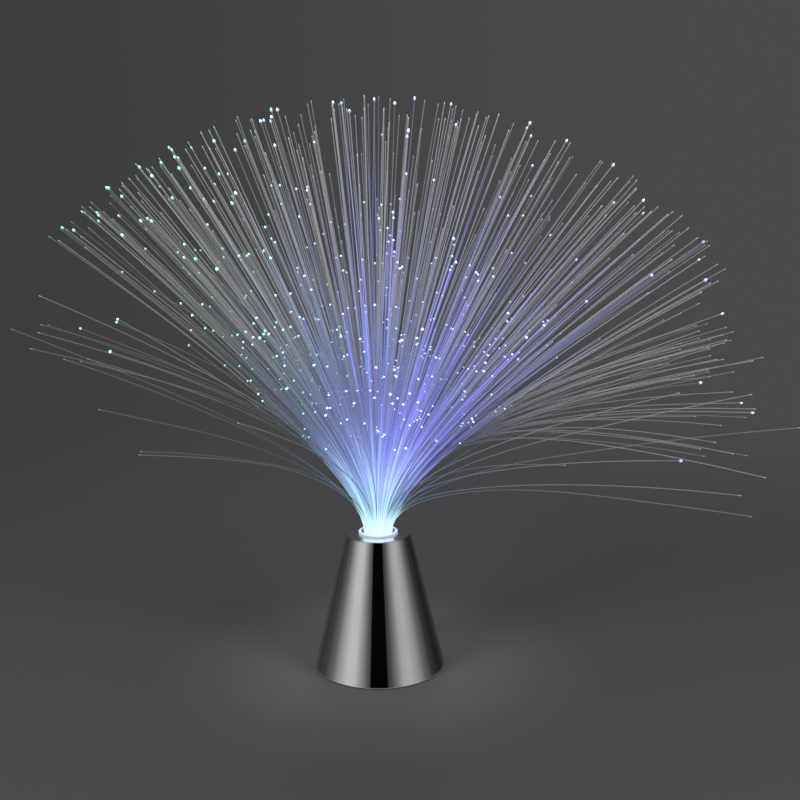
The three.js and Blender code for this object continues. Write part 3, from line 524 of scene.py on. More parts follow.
def dress(node, name, material, slot, body="lamp", **edges):
    """Stands an eased copy of a CAD solid in for the solid itself."""
    seat(eased(node, name, material, **edges), body, slot, node)


def raised_word(word, x, material):
    """Letters on the plate's underside, to be read from below."""
    curve = bpy.data.curves.new(word, "FONT")
    curve.body = word
    curve.size = letter_size * mm
    curve.extrude = letter_proud * mm
    curve.resolution_u = 4
    curve.align_x = "CENTER"
    curve.align_y = "CENTER"
    text = add_object(word, curve)
    mesh = plain_mesh(text)
    bpy.data.objects.remove(text)
    spot = Vector((x, switch_y, plate_under)) * mm
    mesh.transform(Matrix.Translation(spot) @ Matrix.Rotation(math.pi, 4, "Y"))
    mesh.materials.clear()
    mesh.materials.append(material)
    return smoothed(add_object("word_" + word.lower(), mesh))


black_abs = moulding("black_abs", (0.021, 0.021, 0.023), (0.027, 0.027, 0.029), rough=(0.42, 0.49))
dress("base_plate", "plate", black_abs, "black_plastic")
for word, x in words.items():
    seat(raised_word(word, x, black_abs), "lamp", "black_plastic")


# Cells
# Three steel cans in printed metal jackets, rolled over at both ends, with a nub on the positive end.
# They lie side by side, turned end for end, and join in series.
cell_radius = 5.25
cell_length = 43.5
rolled_radius = 4.6
rolled_depth = 0.5
end_inner = 3.4
end_outer = 3.7
end_depth = 0.15
nub_radius = 1.9
nub_top = 44.5
nub_seat = 43.2
nub_foot = 3.1
cell_offset = 0.9
cell_axis = 8.65
cell_lanes = ((-10.9, -1), (0, 1), (10.9, -1))
jacket_stops = (0.012, 0.64, 0.65, 0.962)


def drawn_metal():
    """Shader group: fine lines along X, as a height, and slow blotches of tarnish, 0 to 1."""
    tree, size, where = skin_group("drawn_metal", 3000, "Height", "Tarnish")
    stretched = place(tree, "ShaderNodeMapping", {"Vector": where, "Scale": (0.04, 1, 1)}).outputs[0]
    lines = noise_of(tree, stretched, size, 3.0)[0]
    blotch = noise_of(tree, where, math_of(tree, "MULTIPLY", size, 0.08), 5.0)[0]
    place(tree, "NodeGroupOutput", {"Height": lines, "Tarnish": range_of(tree, blotch, 0.4, 0.7)})
    return tree


drawn = drawn_metal()


def printed_jacket():
    material, tree = shader_of("printed_jacket")
    along = place(tree, "ShaderNodeAttribute", attribute_name="along").outputs["Fac"]
    share = range_of(tree, along, 0.0, cell_length + 1, kind="LINEAR")
    steel, blue, pale, copper = (0.62, 0.61, 0.58), (0.07, 0.1, 0.17), (0.6, 0.6, 0.6), (0.5, 0.27, 0.13)
    printed = ramp_of(tree, share, list(zip((0.0, *jacket_stops), (steel, blue, pale, copper, steel))))
    printed.node.color_ramp.interpolation = "CONSTANT"
    metal = group_of(tree, drawn, Scale=2600.0)
    dulled = math_of(tree, "MULTIPLY", metal["Tarnish"], 0.25)
    return join_up(
        material, Base_Color=mix_of(tree, dulled, printed, 0.1), Metallic=0.75,
        Roughness=range_of(tree, metal["Tarnish"], 0.0, 1.0, 0.26, 0.42),
        Normal=bump_of(tree, 0.1, 0.00005, metal["Height"]),
    )


cell_outline = filleted([
    (0, end_depth, 0), (end_inner, end_depth, 0.1), (end_outer, 0, 0.08), (rolled_radius, 0, 0.25),
    (cell_radius, rolled_depth, 0.3), (cell_radius, cell_length - rolled_depth, 0.3),
    (rolled_radius, cell_length, 0.25), (end_inner, cell_length, 0.1), (nub_foot, nub_seat, 0.08),
    (nub_radius, nub_seat, 0.1), (nub_radius, nub_top, 0.35), (0, nub_top, 0),
], steps=3, guard=0.05)
jacket = printed_jacket()
for lane, (y, nub) in enumerate(cell_lanes, 1):
    cell = spun(f"cell_{lane}", cell_outline, 64, jacket)
    along = cell.data.attributes.new("along", "FLOAT", "POINT")
    along.data.foreach_set("value", [vertex.co.z / mm for vertex in cell.data.vertices])
    laid = Matrix.Rotation(nub * math.pi / 2, 4, "Y")
    middle = Matrix.Translation(Vector((0, y, cell_axis)) * mm)
    centred = Matrix.Translation(Vector((0, 0, cell_offset - cell_length / 2)) * mm)
    cell.data.transform(middle @ laid @ centred)
    seat(cell, "lamp", "cell_wrap", f"battery_{lane}")


# Contacts
# Strips of nickel-plated spring steel slide into the ends of the bay. A dimple meets each nub, and a
# conical coil meets each can. Two strips have solder tails that come out through the box's roof.


def plated_metal(name, bright, dull, rough=(0.24, 0.4)):
    material, tree = shader_of(name)
    metal = group_of(tree, drawn, Scale=3200.0)
    return join_up(
        material, Base_Color=mix_of(tree, metal["Tarnish"], bright, dull), Metallic=1.0,
        Roughness=range_of(tree, metal["Tarnish"], 0.0, 1.0, *rough),
        Normal=bump_of(tree, 0.12, 0.00005, metal["Height"]),
    )


nickel = plated_metal("nickel_plate", (0.68, 0.66, 0.62), (0.5, 0.48, 0.44))
for node in ("contact_positive", "contact_link_right", "contact_link_left", "contact_negative"):
    dress(node, node.replace("contact", "strip"), nickel, "nickel_plate", width=0, sharp=76)


# Battery door
# A flat leaf of the same black plastic as the plate. Two tabs hinge it at the back, and a sprung
# tongue with a ribbed thumb patch latches it at the front.
grip_length = 12.0
grip_width = 0.9
grip_proud = 0.3
grip_rows = (-13.0, -11.5, -10.0, -8.5, -7.0)
arrow_half = 2.6
arrow_front = -4.6
arrow_back = -1.6
arrow_proud = 0.1


def ridge(name, length, width, proud, material):
    """A bar that lies along X and stands proud downwards, with a rounded back and tapered ends."""
    taper = width / 3
    sunk = 0.05
    stations = [(-length / 2, 0.5), (taper - length / 2, 1), (length / 2 - taper, 1), (length / 2, 0.5)]
    arc = np.linspace(0, math.pi, 9)
    points = [
        Vector((x, width / 2 * share * math.cos(a), sunk - (proud + sunk) * share * math.sin(a))) * mm
        for x, share in stations for a in arc
    ]
    n = len(arc)
    faces = [tuple(range(n)), tuple(range(3 * n, 4 * n))]
    for k in range(3):
        faces += [(k * n + i, k * n + (i + 1) % n, k * n + n + (i + 1) % n, k * n + n + i) for i in range(n)]
    return smoothed(link_mesh(name, points, faces, material), sharp=50)


def prism(name, outline, bottom, top, material=None, narrowed=1):
    """A plate cut to an outline in millimetres. Its top may be narrower than its bottom."""
    n = len(outline)
    layers = ((bottom, 1), (top, narrowed))
    points = [Vector((scale * x, scale * y, z)) * mm for z, scale in layers for x, y in outline]
    sides = [(i, (i + 1) % n, n + (i + 1) % n, n + i) for i in range(n)]
    return smoothed(link_mesh(name, points, [tuple(range(n)), tuple(range(n, 2 * n)), *sides], material))


dress("battery_door", "door_leaf", black_abs, "black_plastic", body="door", width=0.1)
bar = ridge("bar", grip_length, grip_width, grip_proud, black_abs)
grip = set_out("door_grip", bar, [(0, y, plate_under) for y in grip_rows], black_abs)
arrow_outline = [(0, arrow_front), (arrow_half, arrow_back), (-arrow_half, arrow_back)]
arrow = prism("door_arrow", arrow_outline, plate_under - 0.25, plate_under + arrow_proud, black_abs)
for piece in (grip, arrow):
    seat(piece, "door", "black_plastic")


# Slide switch
# A folded nickel-plated frame holds a brown paper laminate board with three pins. The knob, on its
# slider inside, comes down through the plate's dish, and has ribs for a fingertip.
knob_rest_x = -1.25
knob_bottom = 0.8
knob_rib_places = (-1.0, 0.0, 1.0)
knob_rib_length = 2.6
knob_rib_width = 0.5
knob_rib_proud = 0.2
pin_bottom = 11.4
pin_tin = (0.62, 0.61, 0.6)


def paper_laminate():
    """Brown laminate with a cloth-like weave, and tinned pins above the height where they start."""
    material, tree = shader_of("paper_laminate")
    where = on_piece(tree)
    inputs = {"Vector": where, "Scale": 900.0, "Distortion": 2.0, "Detail": 2.0}
    weave = place(tree, "ShaderNodeTexWave", inputs).outputs["Fac"]
    brown = mix_of(tree, weave, (0.24, 0.125, 0.055), (0.33, 0.18, 0.09))
    pin = range_of(tree, split(tree, where)["Z"], (pin_bottom + 0.1) * mm, (pin_bottom + 0.15) * mm)
    return join_up(
        material, Base_Color=mix_of(tree, pin, brown, pin_tin), Metallic=pin,
        Roughness=range_of(tree, pin, 0.0, 1.0, 0.6, 0.32), Normal=bump_of(tree, 0.2, 0.00005, weave),
    )


knob_abs = moulding("knob_abs", (0.03, 0.03, 0.032), (0.042, 0.042, 0.044), scale=3500.0, depth=0.15)
dress("switch_frame", "frame_of_switch", nickel, "nickel_plate", width=0.08)
dress("switch_board", "laminate_board", paper_laminate(), "switch_laminate", width=0.05)
dress("switch_knob", "knob", knob_abs, "black_plastic", body="switch_slider", width=0.15)
rib = ridge("rib", knob_rib_length, knob_rib_width, knob_rib_proud, knob_abs)
rib.data.transform(Matrix.Rotation(math.pi / 2, 4, "Z"))
rib_places = [(knob_rest_x + x, switch_y, knob_bottom) for x in knob_rib_places]
seat(set_out("knob_ribs", rib, rib_places, knob_abs), "switch_slider", "black_plastic")


# Feet
# Four round pads of black rubber, glued into seats in the plate, each with a shallow dimple. They
# carry the lamp, and hold the shell's rim clear of the table.
foot_circle = 30.8
foot_places = [(foot_circle, 0, 0), (0, foot_circle, 0), (-foot_circle, 0, 0), (0, -foot_circle, 0)]
foot_radius = 3.6
foot_height = 1.8
dimple_radius = 2.1
dimple_depth = 0.3
foot_outline = filleted([
    (0, dimple_depth, 0), (dimple_radius, dimple_depth, 0.2), (dimple_radius + 0.3, 0, 0.15),
    (foot_radius - 0.4, 0, 0.2), (foot_radius, 0.4, 0.2), (foot_radius, foot_height, 0.2),
    (0, foot_height, 0),
], steps=3, guard=0.05)

rubber_tones = (0.024, 0.024, 0.024), (0.036, 0.035, 0.034)
rubber = moulding("foot_rubber", *rubber_tones, scale=1800.0, rough=(0.78, 0.92))
pads = set_out("foot_pads", spun("pad", foot_outline, 48, rubber), foot_places, rubber)
seat(pads, "lamp", "foot_rubber", "foot_1", "foot_2", "foot_3", "foot_4")


# Plate screws
# Four zinc-plated pan-head screws with a cross recess. They pull the plate up against the bosses.
screw_edge = 0.35
screw_core = 0.8
thread_flank = 0.3
recess_arm = 0.52
recess_slot = 0.13
recess_depth = 0.55
recess_taper = 0.6


def pan_screw(under, head_radius, head_height, shank_radius, length, pitch):
    """A screw that points up: a domed head with a cross recess, and a threaded shank with a point. The
    head's underside lies at the height under."""
    rim, dome_height = under - screw_edge * head_height, (1 - screw_edge) * head_height
    turns = np.linspace(0, math.pi / 2, 9)
    dome = [(head_radius * math.sin(turn), rim - dome_height * math.cos(turn)) for turn in turns]
    shank_end = under + length - 2 * shank_radius
    core, flank = screw_core * shank_radius, thread_flank * pitch
    crests = np.arange(under + pitch, shank_end, pitch)
    profile = ((core, -flank), (shank_radius, 0), (core, flank))
    thread = [(radius, z + shift) for z in crests for radius, shift in profile]
    neck = [(head_radius, under), (core, under)]
    screw = spun("screw", dome + neck + thread + [(core, shank_end), (0, under + length)], 40, zinc)
    arm, half = recess_arm * head_radius, recess_slot * head_radius
    cross = [(half, half), (half, arm), (-half, arm), (-half, half), (-arm, half), (-arm, -half)]
    cross += [(-x, -y) for x, y in cross]
    base = under - head_height
    cutter = prism("cutter", cross, base - 0.2, base + recess_depth * head_height, narrowed=recess_taper)
    recess = screw.modifiers.new("recess", "BOOLEAN")
    recess.operation = "DIFFERENCE"
    recess.solver = "EXACT"
    recess.object = cutter
    mesh = plain_mesh(screw)
    screw.modifiers.clear()
    screw.data = mesh
    bpy.data.objects.remove(cutter)
    return smoothed(screw)


zinc = plated_metal("zinc_plate", (0.62, 0.62, 0.6), (0.44, 0.44, 0.43), rough=(0.26, 0.44))
plate_screw = pan_screw(
    under=3.1, head_radius=2.5, head_height=1.6, shank_radius=1.2, length=12.0, pitch=0.9,
)
plate_screws = set_out("plate_screws", plate_screw, boss_places, zinc)
seat(plate_screws, "lamp", "zinc_screw", "plate_screw_1", "plate_screw_2", "plate_screw_3", "plate_screw_4")


# Collar
# A flanged tube of frosted acrylic, dropped through the crown and glued round the fibres. Light from
# the bundle leaks into it: its flange has a painted glow, a white ring, round a conical mouth painted
# dark as shade.
flange_radius = 11.605
flange_top = 83.6
bundle_top = 82.0
tube_radius = 9.805
bore_radius = 8.655
tube_bottom = 56.1


def off_axis(tree, where):
    """A point's distance from the lamp's axis."""
    level = place(tree, "ShaderNodeVectorMath", {0: where, 1: (1, 1, 0)}, operation="MULTIPLY").outputs[0]
    return place(tree, "ShaderNodeVectorMath", {0: level}, operation="LENGTH").outputs["Value"]


def frosted_acrylic():
    material, tree = shader_of("frosted_acrylic")
    where = on_piece(tree)
    frost = noise_of(tree, where, 2600.0, 2.0)[0]
    distance = off_axis(tree, where)
    outward = range_of(tree, distance, bore_radius * mm, flange_radius * mm, kind="LINEAR")
    # painted glow: dim in the mouth, a white ring on the flange
    glow = ramp_of(tree, outward, [
        (0.0, (0.04, 0.07, 0.14)), (0.4, (0.02, 0.03, 0.07)), (0.5, (0.26, 0.28, 0.42)),
        (0.8, (0.32, 0.36, 0.48)), (1.0, (0.1, 0.14, 0.19)),
    ])
    # painted shade: the mouth's bore is dark and the flange is pale
    tone = ramp_of(tree, outward, [
        (0.0, (0.05, 0.07, 0.1)), (0.4, (0.06, 0.07, 0.1)), (0.5, (0.5, 0.52, 0.6)),
        (1.0, (0.42, 0.45, 0.5)),
    ])
    return join_up(
        material, Base_Color=tone, Emission_Color=glow, Emission_Strength=1.0,
        Roughness=range_of(tree, frost, 0.3, 0.7, 0.28, 0.42), Normal=bump_of(tree, 0.15, 0.0001, frost),
    )


collar_outline = filleted([
    (bore_radius, tube_bottom, 0.2), (tube_radius, tube_bottom, 0.2), (tube_radius, shell_height, 0),
    (flange_radius, shell_height, 0.2), (flange_radius, flange_top, 0.45), (tube_radius, flange_top, 0.2),
    (bore_radius, bundle_top, 0),
])
collar = spun("collar", collar_outline, 128, frosted_acrylic(), closed=True)
seat(collar, "lamp", "frosted_collar", "bundle_collar")


# Nut
# A lobed ring of black plastic, turned up against the crown's underside on the collar's tube.
dress("collar_nut", "nut", black_abs, "black_plastic", width=0.25, sharp=50)


# Lamp holder
# A cup of white plastic that slides over the collar's tube. Its chamber narrows to a cone round the
# LED, and the round circuit board is screwed on below it.
board_top = 44.0
board_screw_x = 8.805
chip_y = 4.44
chip_half_width = 2.0
resistor_reach = 2.3
leg_tin = (0.62, 0.62, 0.6)


def solder_mask():
    """Green varnish over copper tracks on a glass laminate."""
    material, tree = shader_of("solder_mask")
    tracks = place(tree, "ShaderNodeTexBrick", {
        "Vector": on_piece(tree), "Scale": 420.0, "Color1": rgba(1), "Color2": rgba(0), "Mortar": rgba(1),
        "Mortar Size": 0.12, "Mortar Smooth": 0.1, "Bias": 0.3,
    })
    copper = range_of(tree, tracks.outputs["Color"], 0.45, 0.55)
    skin = group_of(tree, grain, Scale=3000.0)
    green = mix_of(tree, skin["Shade"], (0.02, 0.13, 0.055), (0.03, 0.17, 0.075))
    return join_up(
        material, Base_Color=mix_of(tree, copper, green, (0.05, 0.24, 0.1)),
        Roughness=range_of(tree, copper, 0.0, 1.0, 0.42, 0.3), Normal=bump_of(tree, 0.4, 0.00004, copper),
    )


def lit_lens():
    """A clear dome that the die lights from inside, on two tinned leads."""
    material, tree = shader_of("lit_lens")
    where = on_piece(tree)
    lens = range_of(tree, split(tree, where)["Z"], board_top * mm, (board_top + 0.1) * mm)
    swirl = noise_of(tree, where, 900.0, 2.0)[0]
    tone = mix_of(tree, lens, (0.6, 0.6, 0.58), (0.8, 0.88, 0.94))
    bright = mix_of(tree, swirl, (0.55, 0.75, 1.0), (0.8, 0.93, 1.0))
    return join_up(
        material, Base_Color=tone, Metallic=range_of(tree, lens, 0.0, 1.0, 1.0, 0.0),
        Roughness=range_of(tree, swirl, 0.3, 0.7, 0.08, 0.16),
        Emission_Color=mix_of(tree, lens, 0, bright), Emission_Strength=1.5,
    )


def chip_epoxy():
    """Black epoxy with tinned legs at both sides."""
    material, tree = shader_of("chip_epoxy")
    y = split(tree, on_piece(tree))["Y"]
    off = math_of(tree, "ABSOLUTE", math_of(tree, "SUBTRACT", y, chip_y * mm))
    leg = range_of(tree, off, (chip_half_width + 0.02) * mm, (chip_half_width + 0.04) * mm)
    skin = group_of(tree, grain, Scale=5000.0)
    epoxy = mix_of(tree, skin["Shade"], (0.014, 0.014, 0.015), (0.022, 0.022, 0.023))
    return join_up(
        material, Base_Color=mix_of(tree, leg, epoxy, leg_tin), Metallic=leg,
        Roughness=range_of(tree, leg, 0.0, 1.0, 0.55, 0.3),
        Normal=bump_of(tree, 0.3, 0.00003, skin["Height"]),
    )


def banded_resistor():
    """Beige lacquer with four colour bands round it, and tinned leads at the ends."""
    material, tree = shader_of("banded_resistor")
    x = split(tree, on_piece(tree))["X"]
    share = range_of(tree, x, -resistor_reach * mm, resistor_reach * mm, kind="LINEAR")
    lead, beige, orange = (0.6, 0.6, 0.58), (0.56, 0.42, 0.27), (0.6, 0.16, 0.02)
    brown, gold = (0.12, 0.04, 0.015), (0.45, 0.3, 0.08)
    bands = ramp_of(tree, share, [
        (0.0, lead), (0.11, beige), (0.2, orange), (0.28, beige), (0.37, orange), (0.45, beige),
        (0.53, brown), (0.61, beige), (0.72, gold), (0.8, beige), (0.89, lead),
    ])
    bands.node.color_ramp.interpolation = "CONSTANT"
    skin = group_of(tree, grain, Scale=4000.0)
    clouded = math_of(tree, "MULTIPLY", skin["Shade"], 0.2)
    return join_up(
        material, Base_Color=mix_of(tree, clouded, bands, (0.3, 0.26, 0.2)),
        Roughness=range_of(tree, skin["Shade"], 0.3, 0.7, 0.3, 0.42),
        Normal=bump_of(tree, 0.1, 0.00003, skin["Height"]),
    )


white_tones = (0.78, 0.78, 0.76), (0.84, 0.84, 0.82)
white_plastic = moulding("white_plastic", *white_tones, rough=(0.42, 0.55), depth=0.12)
dress("led_holder", "holder", white_plastic, "white_plastic", width=0.2)
dress("led_board", "round_board", solder_mask(), "circuit_board", width=0)
dress("led_lamp", "led_dome", lit_lens(), "led_lens", width=0, sharp=50)
dress("driver_chip", "chip", chip_epoxy(), "black_plastic", width=0.05)
dress("board_resistor", "resistor", banded_resistor(), "resistor_coat", width=0, sharp=50)
board_screw = pan_screw(
    under=42.1, head_radius=1.7, head_height=1.2, shank_radius=0.8, length=5.0, pitch=0.6,
)
board_screws = set_out("board_screws", board_screw, [(-board_screw_x, 0, 0), (board_screw_x, 0, 0)], zinc)
seat(board_screws, "lamp", "zinc_screw", "board_screw_1", "board_screw_2")


# Wires
# Three lengths of stranded wire in soft PVC. The red ones run from the cells to the switch and on to
# the board, and the black one runs back to the cells.


def soft_vinyl(name, dark, light):
    return moulding(name, dark, light, scale=2200.0, rough=(0.28, 0.4), depth=0.08)


red_vinyl = soft_vinyl("red_vinyl", (0.42, 0.015, 0.012), (0.54, 0.026, 0.02))
black_vinyl = soft_vinyl("black_vinyl", (0.013, 0.013, 0.014), (0.02, 0.02, 0.021))
dress("wire_feed", "lead_feed", red_vinyl, "red_wire", width=0, sharp=76)
dress("wire_switched", "lead_switched", red_vinyl, "red_wire", width=0, sharp=76)
dress("wire_return", "lead_return", black_vinyl, "black_wire", width=0, sharp=76)


# Fibres
# Clear acrylic strands, a little over half a millimetre thick, that stand in a potted plug and spray
# outwards. The LED's light leaks out of their sides near the root and leaves through their rounded
# ends.
strand_thickness = 0.58
strand_stations = 20
strand_sides = 5
tip_share = 0.0026
strand_waver = 4
waver_stride = 7.31
waver_turns = 2.2
strand_rise = 46
strand_reach = 251.5
plug_radius = 8.355
plug_bottom = 57.6
circle_pitch = 0.71
ring_gap = 0.3
last_circle = 10
ring_last_circles = (5, 7, 9, 10)
spray_angle = 48
spray_lean = 4
full_share = 0.55
shortest_share = 0.45
tuft_count = 11
tuft_share = 0.5
wander_share = 0.3
stray_reach = 216
# Strands of the solids that lean out of the spray, by azimuth and angle from upright. The far ones
# reach as far to the side as the solids do, and the near ones a share of the full length.
far_strays = [(-22, 71), (172, 61), (-92, 63), (85, 66)]
near_strays = [
    (-14, 84, 0.85), (-30, 77, 0.86), (-7, 68, 0.91), (3, 62, 0.94), (-40, 69, 0.82), (150, 59, 0.9),
    (186, 58, 0.82), (200, 66, 0.6), (212, 60, 0.76), (20, 60, 0.95), (40, 66, 0.86), (63, 61, 0.92),
    (112, 64, 0.9), (132, 68, 0.82), (232, 64, 0.78), (251, 60, 0.85), (296, 66, 0.83), (314, 61, 0.91),
]
fill_widened = 1.07
fill_narrowed = 0.03
fill_tufts = 70
fill_pull = 0.58
fill_cuts = (0.36, 0.6, 0.97)
loose_count = 58
loose_right = 46
loose_limit = 213
light_tufts = 64
light_drift = 0.12
leaning_from = 52.5
leaning_light = 0.12
leaning_shine = 0.75
dark_end = 0.035
plain_end = 0.1


def strand_tree():
    """Geometry Nodes: bends a line from each point towards its tip, and sweeps it to a strand."""
    tree, given = geometry_tree("bent_strands", {
        "Stations": "Int", "Sides": "Int", "Thickness": "Float", "Tip Share": "Float", "Waver": "Float",
        "Strands": "Int",
    })

    def named(name, kind="FLOAT"):
        node = place(tree, "GeometryNodeInputNamedAttribute", {"Name": name}, data_type=kind)
        return node.outputs["Attribute"]

    def store(geometry, name, value, domain="POINT", kind="FLOAT"):
        inputs = {"Geometry": geometry, "Name": name, "Value": value}
        node = place(tree, "GeometryNodeStoreNamedAttribute", inputs, data_type=kind, domain=domain)
        return node.outputs["Geometry"]

    def scaled(vector, scale):
        node = place(tree, "ShaderNodeVectorMath", {0: vector, "Scale": scale}, operation="SCALE")
        return node.outputs[0]

    def vectors(operation, a, b):
        return place(tree, "ShaderNodeVectorMath", {0: a, 1: b}, operation=operation).outputs[0]

    def times(a, b):
        return math_of(tree, "MULTIPLY", a, b)

    def plus(a, b):
        return math_of(tree, "ADD", a, b)

    def less(a, b):
        return math_of(tree, "SUBTRACT", a, b)

    line = place(tree, "GeometryNodeCurvePrimitiveLine").outputs[0]
    stations = place(tree, "GeometryNodeResampleCurve", {"Curve": line, "Count": given["Stations"]})
    copied = {0: given["Geometry"], "Instance": stations.outputs[0]}
    copies = place(tree, "GeometryNodeInstanceOnPoints", copied)
    lines = place(tree, "GeometryNodeRealizeInstances", {0: copies.outputs[0]}).outputs[0]

    # A station's share of the curve: even steps, with the last two close together at the tip
    station = place(tree, "GeometryNodeSplineParameter").outputs["Index"]
    last = less(given["Stations"], 3.0)
    even = math_of(tree, "MINIMUM", math_of(tree, "DIVIDE", station, last), 1.0)
    past = math_of(tree, "MAXIMUM", less(station, last), 0.0)
    body = less(1.0, times(given["Tip Share"], 2.0))
    along = plus(times(even, body), times(past, given["Tip Share"]))
    t = times(along, named("share"))

    # The bend: the strand rises from its root before it turns outwards, and wavers on its way
    root = named("root", "FLOAT_VECTOR")
    reach = vectors("SUBTRACT", named("tip", "FLOAT_VECTOR"), root)
    lift = times(times(t, less(1.0, t)), times(named("rise"), 2.0))
    rise = place(tree, "ShaderNodeCombineXYZ", {2: lift}).outputs[0]
    bent = vectors("ADD", vectors("ADD", root, rise), scaled(reach, times(t, t)))
    phase = plus(times(named("row"), waver_stride), times(t, waver_turns))
    inputs = {"W": phase, "Scale": 1.0, "Detail": 0.0}
    noise = place(tree, "ShaderNodeTexNoise", inputs, noise_dimensions="1D")
    centred = vectors("ADD", noise.outputs["Color"], (-0.5, -0.5, -0.5))
    moved = vectors("ADD", bent, scaled(centred, times(given["Waver"], t)))
    curve = place(tree, "GeometryNodeSetPosition", {"Geometry": lines, "Position": moved}).outputs[0]

    # The sweep: a bulb at the last station but one, and a smaller closing ring
    run = place(tree, "GeometryNodeSplineParameter").outputs["Length"]
    bulb = math_of(tree, "COMPARE", past, 1.0, 0.1)
    closing = math_of(tree, "COMPARE", past, 2.0, 0.1)
    flare = plus(1.0, times(bulb, named("flare")))
    radius = times(less(flare, times(closing, 0.3)), times(given["Thickness"], 0.5))
    curve = store(curve, "run", run)
    curve = store(curve, "end", plus(closing, times(bulb, 0.5)))
    curve = store(curve, "station", math_of(tree, "DIVIDE", station, less(given["Stations"], 1.0)))
    circle = place(tree, "GeometryNodeCurvePrimitiveCircle", {"Resolution": given["Sides"], "Radius": 1.0})
    corner = place(tree, "GeometryNodeSplineParameter").outputs["Factor"]
    section = store(circle.outputs[0], "around", corner)
    parts = {"Curve": curve, "Profile Curve": section, "Scale": radius, "Fill Caps": True}
    tube = place(tree, "GeometryNodeCurveToMesh", parts)
    row = plus(named("row"), math_of(tree, "MULTIPLY_ADD", named("around"), 0.8, 0.1))
    across = math_of(tree, "DIVIDE", row, given["Strands"])
    spread = place(tree, "ShaderNodeCombineXYZ", {0: named("station"), 1: across}).outputs[0]
    mapped = store(tube.outputs[0], "OFBake", spread, "CORNER", "FLOAT2")
    smooth = place(tree, "GeometryNodeSetShadeSmooth", {"Geometry": mapped}).outputs[0]
    return end_tree(tree, smooth, given["Finish"])


def clear_acrylic():
    """A clear strand: its light runs from white-blue at the root to each strand's own hue, and its end
    glows in each strand's own colour."""
    material, tree = shader_of("clear_acrylic")

    def read(name, output="Color"):
        return place(tree, "ShaderNodeAttribute", attribute_name=name).outputs[output]

    run, end = read("run", "Fac"), read("end", "Fac")
    share = range_of(tree, run, 0.0, 0.26, kind="LINEAR")
    root_light = ramp_of(tree, share, [
        (0.0, (0.74, 0.92, 0.86)), (0.02, (0.68, 0.94, 0.94)), (0.045, (0.6, 0.96, 1.0)),
        (0.08, (0.48, 0.82, 1.0)), (0.12, (0.42, 0.66, 1.0)), (0.16, (0.33, 0.47, 0.82)),
        (0.21, (0.2, 0.26, 0.5)), (0.27, (0.08, 0.1, 0.22)), (0.35, (0.02, 0.03, 0.08)),
        (0.45, (0, 0.01, 0.03)), (0.6, (0, 0, 0)),
    ])
    kept = mix_of(tree, range_of(tree, run, 0.004, 0.024), 1, read("leak"))
    root_light = mix_of(tree, 1.0, root_light, kept, "MULTIPLY")
    side_level = ramp_of(tree, share, [
        (0.0, 0.35), (0.08, 0.6), (0.17, 0.7), (0.24, 0.56), (0.31, 0.42), (0.42, 0.38), (0.54, 0.34),
        (0.64, 0.28), (0.77, 0.16), (0.9, 0.04),
    ])
    side = mix_of(tree, 1.0, read("hue"), side_level, "MULTIPLY")
    body = mix_of(tree, 1.0, root_light, side, "ADD")
    dim = mix_of(tree, 1.0, body, 0.125, "MULTIPLY")
    alpha = ramp_of(tree, share, [
        (0.0, 1.0), (0.15, 0.85), (0.3, 0.5), (0.5, 0.36), (0.85, 0.33), (1.0, 0.37),
    ])
    tone = ramp_of(tree, share, [
        (0.0, (0.08, 0.1, 0.11)), (0.12, (0.1, 0.12, 0.13)), (0.34, 0.27), (0.6, 0.35),
    ])
    material.cycles.emission_sampling = "NONE"
    return join_up(
        # the base colour is scaled by each strand's shine, which is painted light
        material, Base_Color=mix_of(tree, 1.0, tone, read("shine"), "MULTIPLY"), Roughness=0.3,
        Alpha=math_of(tree, "MAXIMUM", alpha, end),
        Emission_Color=mix_of(tree, end, dim, read("spark")), Emission_Strength=8.0,
    )


def scatter(count, stride):
    """Shares from 0 to 1 that look random but are the same each time."""
    return (np.arange(count) * stride) % 1


def potted_roots(circles, offset):
    """Each strand's circle and azimuth, with six more strands on each circle than on the one inside."""
    golden = math.pi * (3 - math.sqrt(5))
    rows = []
    for circle in circles:
        count = max(1, round(6 * circle))
        rows += [(circle, circle * golden + 2 * math.pi * (i + offset) / count) for i in range(count)]
    return np.array(rows).T


def root_ring(circle):
    """Which of the bundle's four rings a strand stands in."""
    return np.searchsorted(ring_last_circles, np.asarray(circle) - 0.01)


def spray_shape(circle, azimuth, strays):
    """The angle from upright, azimuth, length and share of the strands that stand on the circles."""
    count = len(circle)
    wander = wander_share * (scatter(count, math.sqrt(3)) - 0.5)
    angle = (spray_angle + spray_lean * np.cos(azimuth)) * (circle + wander) / last_circle
    turned = azimuth + tuft_share / tuft_count * np.sin(tuft_count * azimuth)
    cut = shortest_share + (1 - shortest_share) * scatter(count, math.sqrt(7))
    share = np.where(scatter(count, math.sqrt(2)) < full_share, 1, cut)
    distance = np.full(count, strand_reach)
    free = list(np.flatnonzero(circle == last_circle))
    for degrees, lift, length in strays:
        turn = math.radians(degrees)
        gap = [abs(math.remainder(azimuth[i] - turn, 2 * math.pi)) for i in free]
        chosen = free.pop(int(np.argmin(gap)))
        turned[chosen], angle[chosen] = turn, lift
        distance[chosen], share[chosen] = length * strand_reach, 1
    return np.radians(angle), turned, distance, share


def stray_list():
    """All strays, with the length at which the far ones reach as far to the side as the solids do."""
    strays = []
    for degrees, lift in far_strays:
        side = max(abs(math.cos(math.radians(degrees))), abs(math.sin(math.radians(degrees))))
        strays.append((degrees, lift, stray_reach / side / math.sin(math.radians(lift)) / strand_reach))
    return strays + near_strays


def nearest_of(points, centres):
    """Which centre is the nearest to each point."""
    return np.argmin(np.linalg.norm(points[:, None] - centres[None], axis=2), axis=1)


